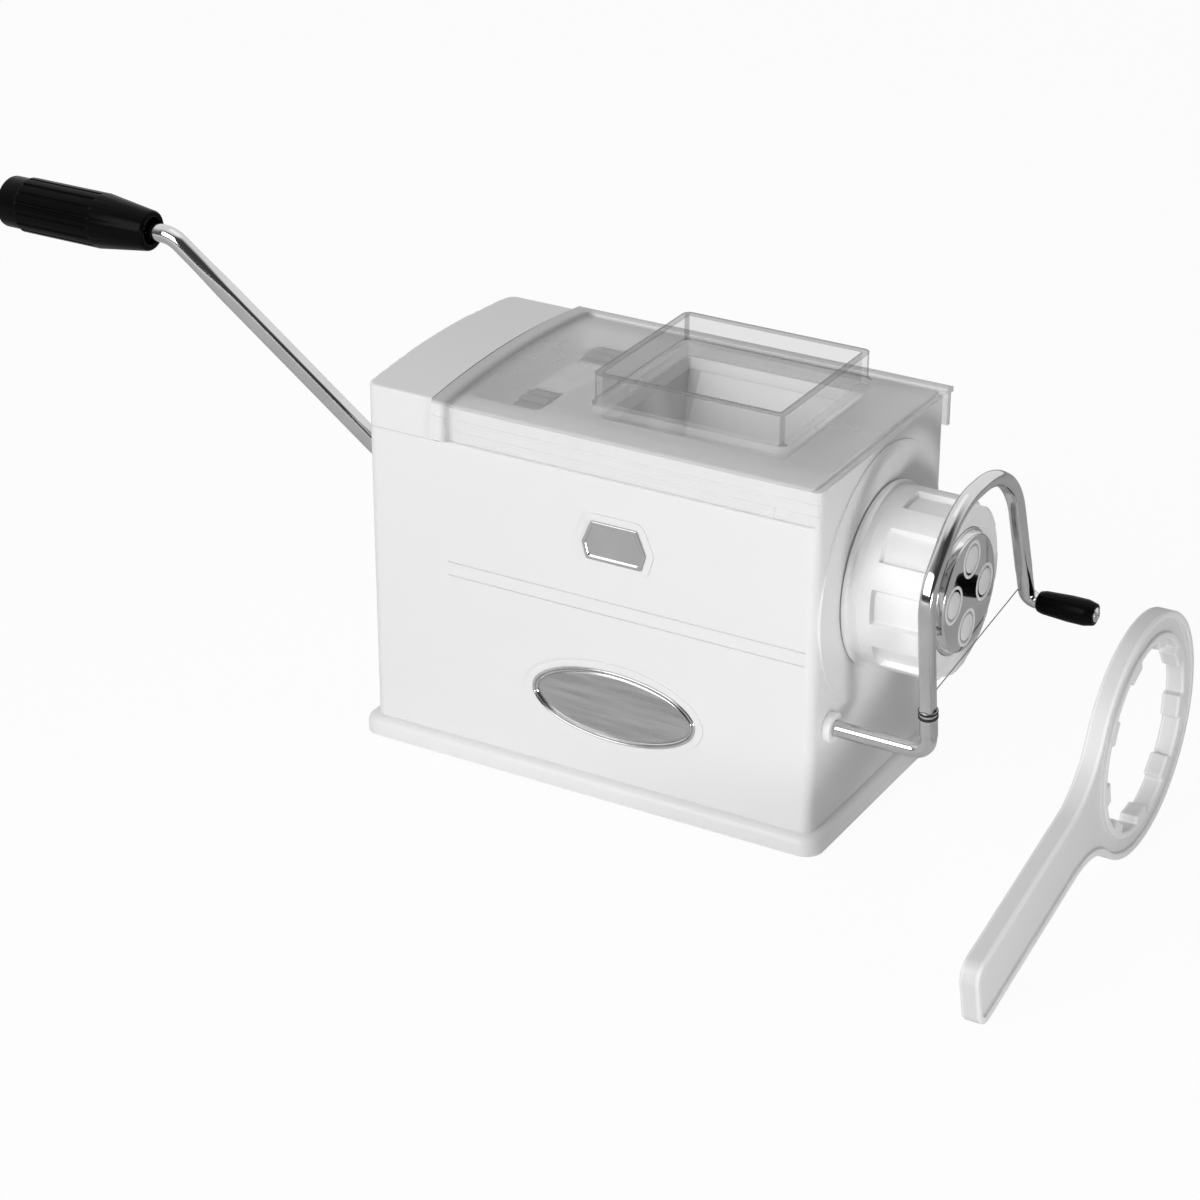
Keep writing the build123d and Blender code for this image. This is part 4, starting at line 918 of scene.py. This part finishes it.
def deckPlastic(rough):
    # Seen through the lid: painted shade along the left border, a painted highlight on the saddle between
    # the discs.
    def recipe(at):
        d = deck
        x, y = at.axis("X"), at.axis("Y")
        # the painted highlight on the saddle
        ridge = abs(x - d["ridgeX"] * mm).fade(d["ridgeSides"]) * abs(y).fade(d["ridgeEnds"])
        # painted shade along the left border
        tone = x.fade(d["borderTone"]).blend(grey(d["bowlGrey"]), grey(d["borderGrey"]))
        return {"Base Color": ridge.blend(tone, grey(d["ridgeGrey"])),
                "Roughness": unevenGloss(rough, 0.1, at.noise(plastic["handled"], 2.0)),
                "Normal": wavySkin(at)}
    return recipe


def gridLines(low, high, step, extra):
    count = int((high - low) / step)
    lines = {round(low + (high - low) * k / count, 4) for k in range(count + 1)}
    return sorted(lines | set(extra))


def makeDeck():
    d, f = deck, funnelRim
    slots = [side * (d["discY"] + way * d["slotHalf"]) for side in (-1, 1) for way in (-1, 1)]
    left, right, half = f["left"] - f["lap"], f["right"] + f["lap"], f["half"] + f["lap"]
    xs = gridLines(d["left"], d["right"], d["step"],
                   [d["left"] + d["edge"], d["right"] - d["edge"], d["slotLeft"], d["slotRight"],
                    left, right])
    ys = gridLines(d["front"], d["back"], d["step"],
                   slots + [d["front"] + d["edge"], d["back"] - d["edge"], -half, half])
    points = [(x, y, deckHeight(x, y)) for x in xs for y in ys]
    faces = []
    for i in range(len(xs) - 1):
        for j in range(len(ys) - 1):
            x, y = (xs[i] + xs[i + 1]) / 2, (ys[j] + ys[j + 1]) / 2
            mouth = left < x < right and abs(y) < half
            slot = d["slotLeft"] < x < d["slotRight"] and abs(abs(y) - d["discY"]) < d["slotHalf"]
            if not mouth and not slot:
                here = i * len(ys) + j
                faces.append((here, here + len(ys), here + len(ys) + 1, here + 1))
    finish["deckWhite"] = shade("deckWhite", deckPlastic(d["rough"]), white)
    adopt("deckSkin", meshFrom("deckSkin", points, faces), "deckWhite", "machine", smoothAngle=50)


def makeFunnelRim():
    f = funnelRim
    middle = (f["left"] + f["right"]) / 2
    alongX, alongY = (f["right"] - f["left"]) / 2 - f["corner"], f["half"] - f["corner"]
    turns = [(sx, sy, math.radians(start + more)) for sx, sy, start in
             ((1, 1, 0), (-1, 1, 90), (-1, -1, 180), (1, -1, 270)) for more in (0, 30, 60, 90)]
    points = []
    for sx, sy, turn in turns:
        for out, z in f["profile"]:
            size = f["corner"] + out
            points.append((middle + sx * alongX + size * math.cos(turn),
                           sy * alongY + size * math.sin(turn), z))
    mesh = meshFrom("funnelRim", points, stripFaces(len(turns), len(f["profile"])))
    adopt("funnelRim", mesh, "hopperWhite", "machine")


makeDeck()
makeFunnelRim()
print("deck and funnel rim made")


# Feed screw, base screws and feet

feedScrew = {    # mm
    "left": -65.0, "right": 123.0, "core": 7.5, "outer": 17.9, "pitch": 27.0, "thickness": 3.4,
    "socket": 5.1, "socketDepth": 12.3, "tip": 7.5, "sunk": 0.8,
}
fixings = {    # mm
    "screwX": 102, "screwY": 50.5, "joint": -75.2,             # where the two housings meet
    "footX": 84, "footY": 47.5,
    "screwTop": 7.0, "screwHead": 3.6, "headHeight": 2.4, "screwSlot": 1.0,
    "footRadius": 8.0, "footTop": 5.4, "footHollow": 0.8,
}


def makeFeedScrew():
    f = feedScrew
    length = f["right"] - f["left"] - 2 * f["thickness"]
    bottom = f["left"] + f["socketDepth"]
    core = [(f["left"], f["socket"], 0.2), (f["left"], f["core"], 0.5),
            (f["right"] - f["tip"], f["core"], 1.0), (f["right"], f["core"] / 2, 1.0), (f["right"], 0, 0),
            (bottom, 0, 0), (bottom, f["socket"], 0)]
    shaft = lathe("feedCore", roundCorners(core, 0.2), 0, axisHeight, evenAngles(48))
    start = f["left"] + f["thickness"]
    flight = grown("feedFlight", screwTree(), bpy.data.meshes.new("empty"),
                   Turns=length / f["pitch"], Length=length * mm, InnerRadius=(f["core"] - f["sunk"]) * mm,
                   OuterRadius=f["outer"] * mm, Thickness=f["thickness"] * mm,
                   Place=(start * mm, 0, axisHeight * mm), Finish=finish["hopperWhite"])
    adopt("feedCore", shaft, "hopperWhite", "crank", ["auger_screw"])
    adopt("feedFlight", flight, "hopperWhite", "crank")


def makeFixings():
    f = fixings
    tree = placesTree()
    middle = (f["joint"] + endFace) / 2
    screws = [(x, y, 0) for x in (-f["screwX"], middle, f["screwX"]) for y in (-f["screwY"], f["screwY"])]
    feet = [(0, 0, 0)] + [(x, y, 0) for x in (-f["footX"], f["footX"]) for y in (-f["footY"], f["footY"])]
    top, slot = f["screwTop"], f["screwTop"] - f["screwSlot"]
    under = top - f["headHeight"]
    head = [(top, 0, 0), (top, 1.9, 0), (top - 0.1, f["screwHead"], 0.3), (under, f["screwHead"], 0.8),
            (under, 1.2, 0.2), (slot, 0.9, 0.1), (slot, 0, 0)]
    foot = [(f["footTop"], 0, 0), (f["footTop"], f["footRadius"], 0.2), (0, f["footRadius"], 0.8),
            (0, 5.0, 0.5), (f["footHollow"], 4.6, 0.3), (f["footHollow"], 0, 0)]
    for name, outline, places, material, stands in (
            ("screwHeads", head, screws, "steel", "base_screws"),
            ("rubberFeet", foot, feet, "footRubber", "rubber_feet")):
        one = lathe(name, roundCorners(outline, 0.1), 0, 0, evenAngles(40))
        one.transform(Matrix.Rotation(-math.pi / 2, 4, "Y"))
        marks = bpy.data.objects.new(name + "Places", meshFrom(name + "Places", places, []))
        bpy.context.collection.objects.link(marks)
        placed = grown(name, tree, one, Places=marks, Finish=finish[material])
        bpy.data.objects.remove(marks)
        adopt(name, placed, material, "machine", [stands])


makeFeedScrew()
makeFixings()
print("feed screw and fixings made")


# Room and floor

def seenRays(tree):
    # The first is 1 for what the camera sees, also through clear pieces, the second for what mirrors see.
    rays = tree.nodes.new("ShaderNodeLightPath")
    seen = Wire(tree, rays.outputs["Is Camera Ray"]).larger(Wire(tree, rays.outputs["Is Transmission Ray"]))
    return seen, Wire(tree, rays.outputs["Is Glossy Ray"])


def makeRoom():
    world = bpy.data.worlds.new("studio")
    bpy.context.scene.world = world
    world.use_nodes = True
    tree = world.node_tree
    tree.nodes.clear()
    seen, mirrorRay = seenRays(tree)
    way = Wire(tree, tree.nodes.new("ShaderNodeTexCoord").outputs["Generated"])
    height = way.axis("Z")
    turn = math.radians(camera["azimuth"])
    toCamera = way.axis("X") * math.sin(turn) - way.axis("Y") * math.cos(turn)
    dim = height.smooth(*studio["roomAbove"]) * height.smooth(*studio["roomBelow"])
    dim = dim * toCamera.smooth(*studio["roomSide"])
    mirrored = studio["worldWhite"] - dim * studio["roomDim"]
    room = studio["worldLevel"] * (1 - studio["rightDim"] * way.axis("X").smooth(*studio["rightFade"]))
    level = room + (studio["worldWhite"] - room) * seen
    level = level + (mirrored - level) * mirrorRay
    glow = seen.node("ShaderNodeBackground", None, {"Color": (1, 1, 1, 1), "Strength": level})
    seen.node("ShaderNodeOutputWorld", None, {"Surface": glow})


def makeFloor():
    material = bpy.data.materials.new("paleFloor")
    material.use_nodes = True
    tree = material.node_tree
    tree.nodes.clear()
    place = Wire(tree, tree.nodes.new("ShaderNodeTexCoord").outputs["Object"])
    paper = place.noise(3.0, 2.0).blend(*(grey(level) for level in studio["floorGreys"]))
    matt = place.node("ShaderNodeBsdfDiffuse", None, {"Color": paper})
    glow = place.node("ShaderNodeEmission", None, {"Color": (1, 1, 1, 1), "Strength": 1.0})
    share = seenRays(tree)[0] * studio["floorGlow"]
    mixed = place.node("ShaderNodeMixShader", None, {0: share, 1: matt, 2: glow})
    place.node("ShaderNodeOutputMaterial", None, {"Surface": mixed})
    mesh = bpy.data.meshes.new("floor")
    reach, z = studio["floorReach"], -studio["floorDrop"]
    mesh.from_pydata([(-reach, -reach, z), (reach, -reach, z), (reach, reach, z), (-reach, reach, z)], [],
                     [(0, 1, 2, 3)])
    mesh.materials.append(material)
    floor = bpy.data.objects.new("floor", mesh)
    bpy.context.collection.objects.link(floor)


makeCamera()
makeRoom()
makeFloor()
for lamp in ("key", "fill", "top"):
    softbox(lamp)
bpy.context.scene.view_settings.view_transform = "Standard"
print("stage set")
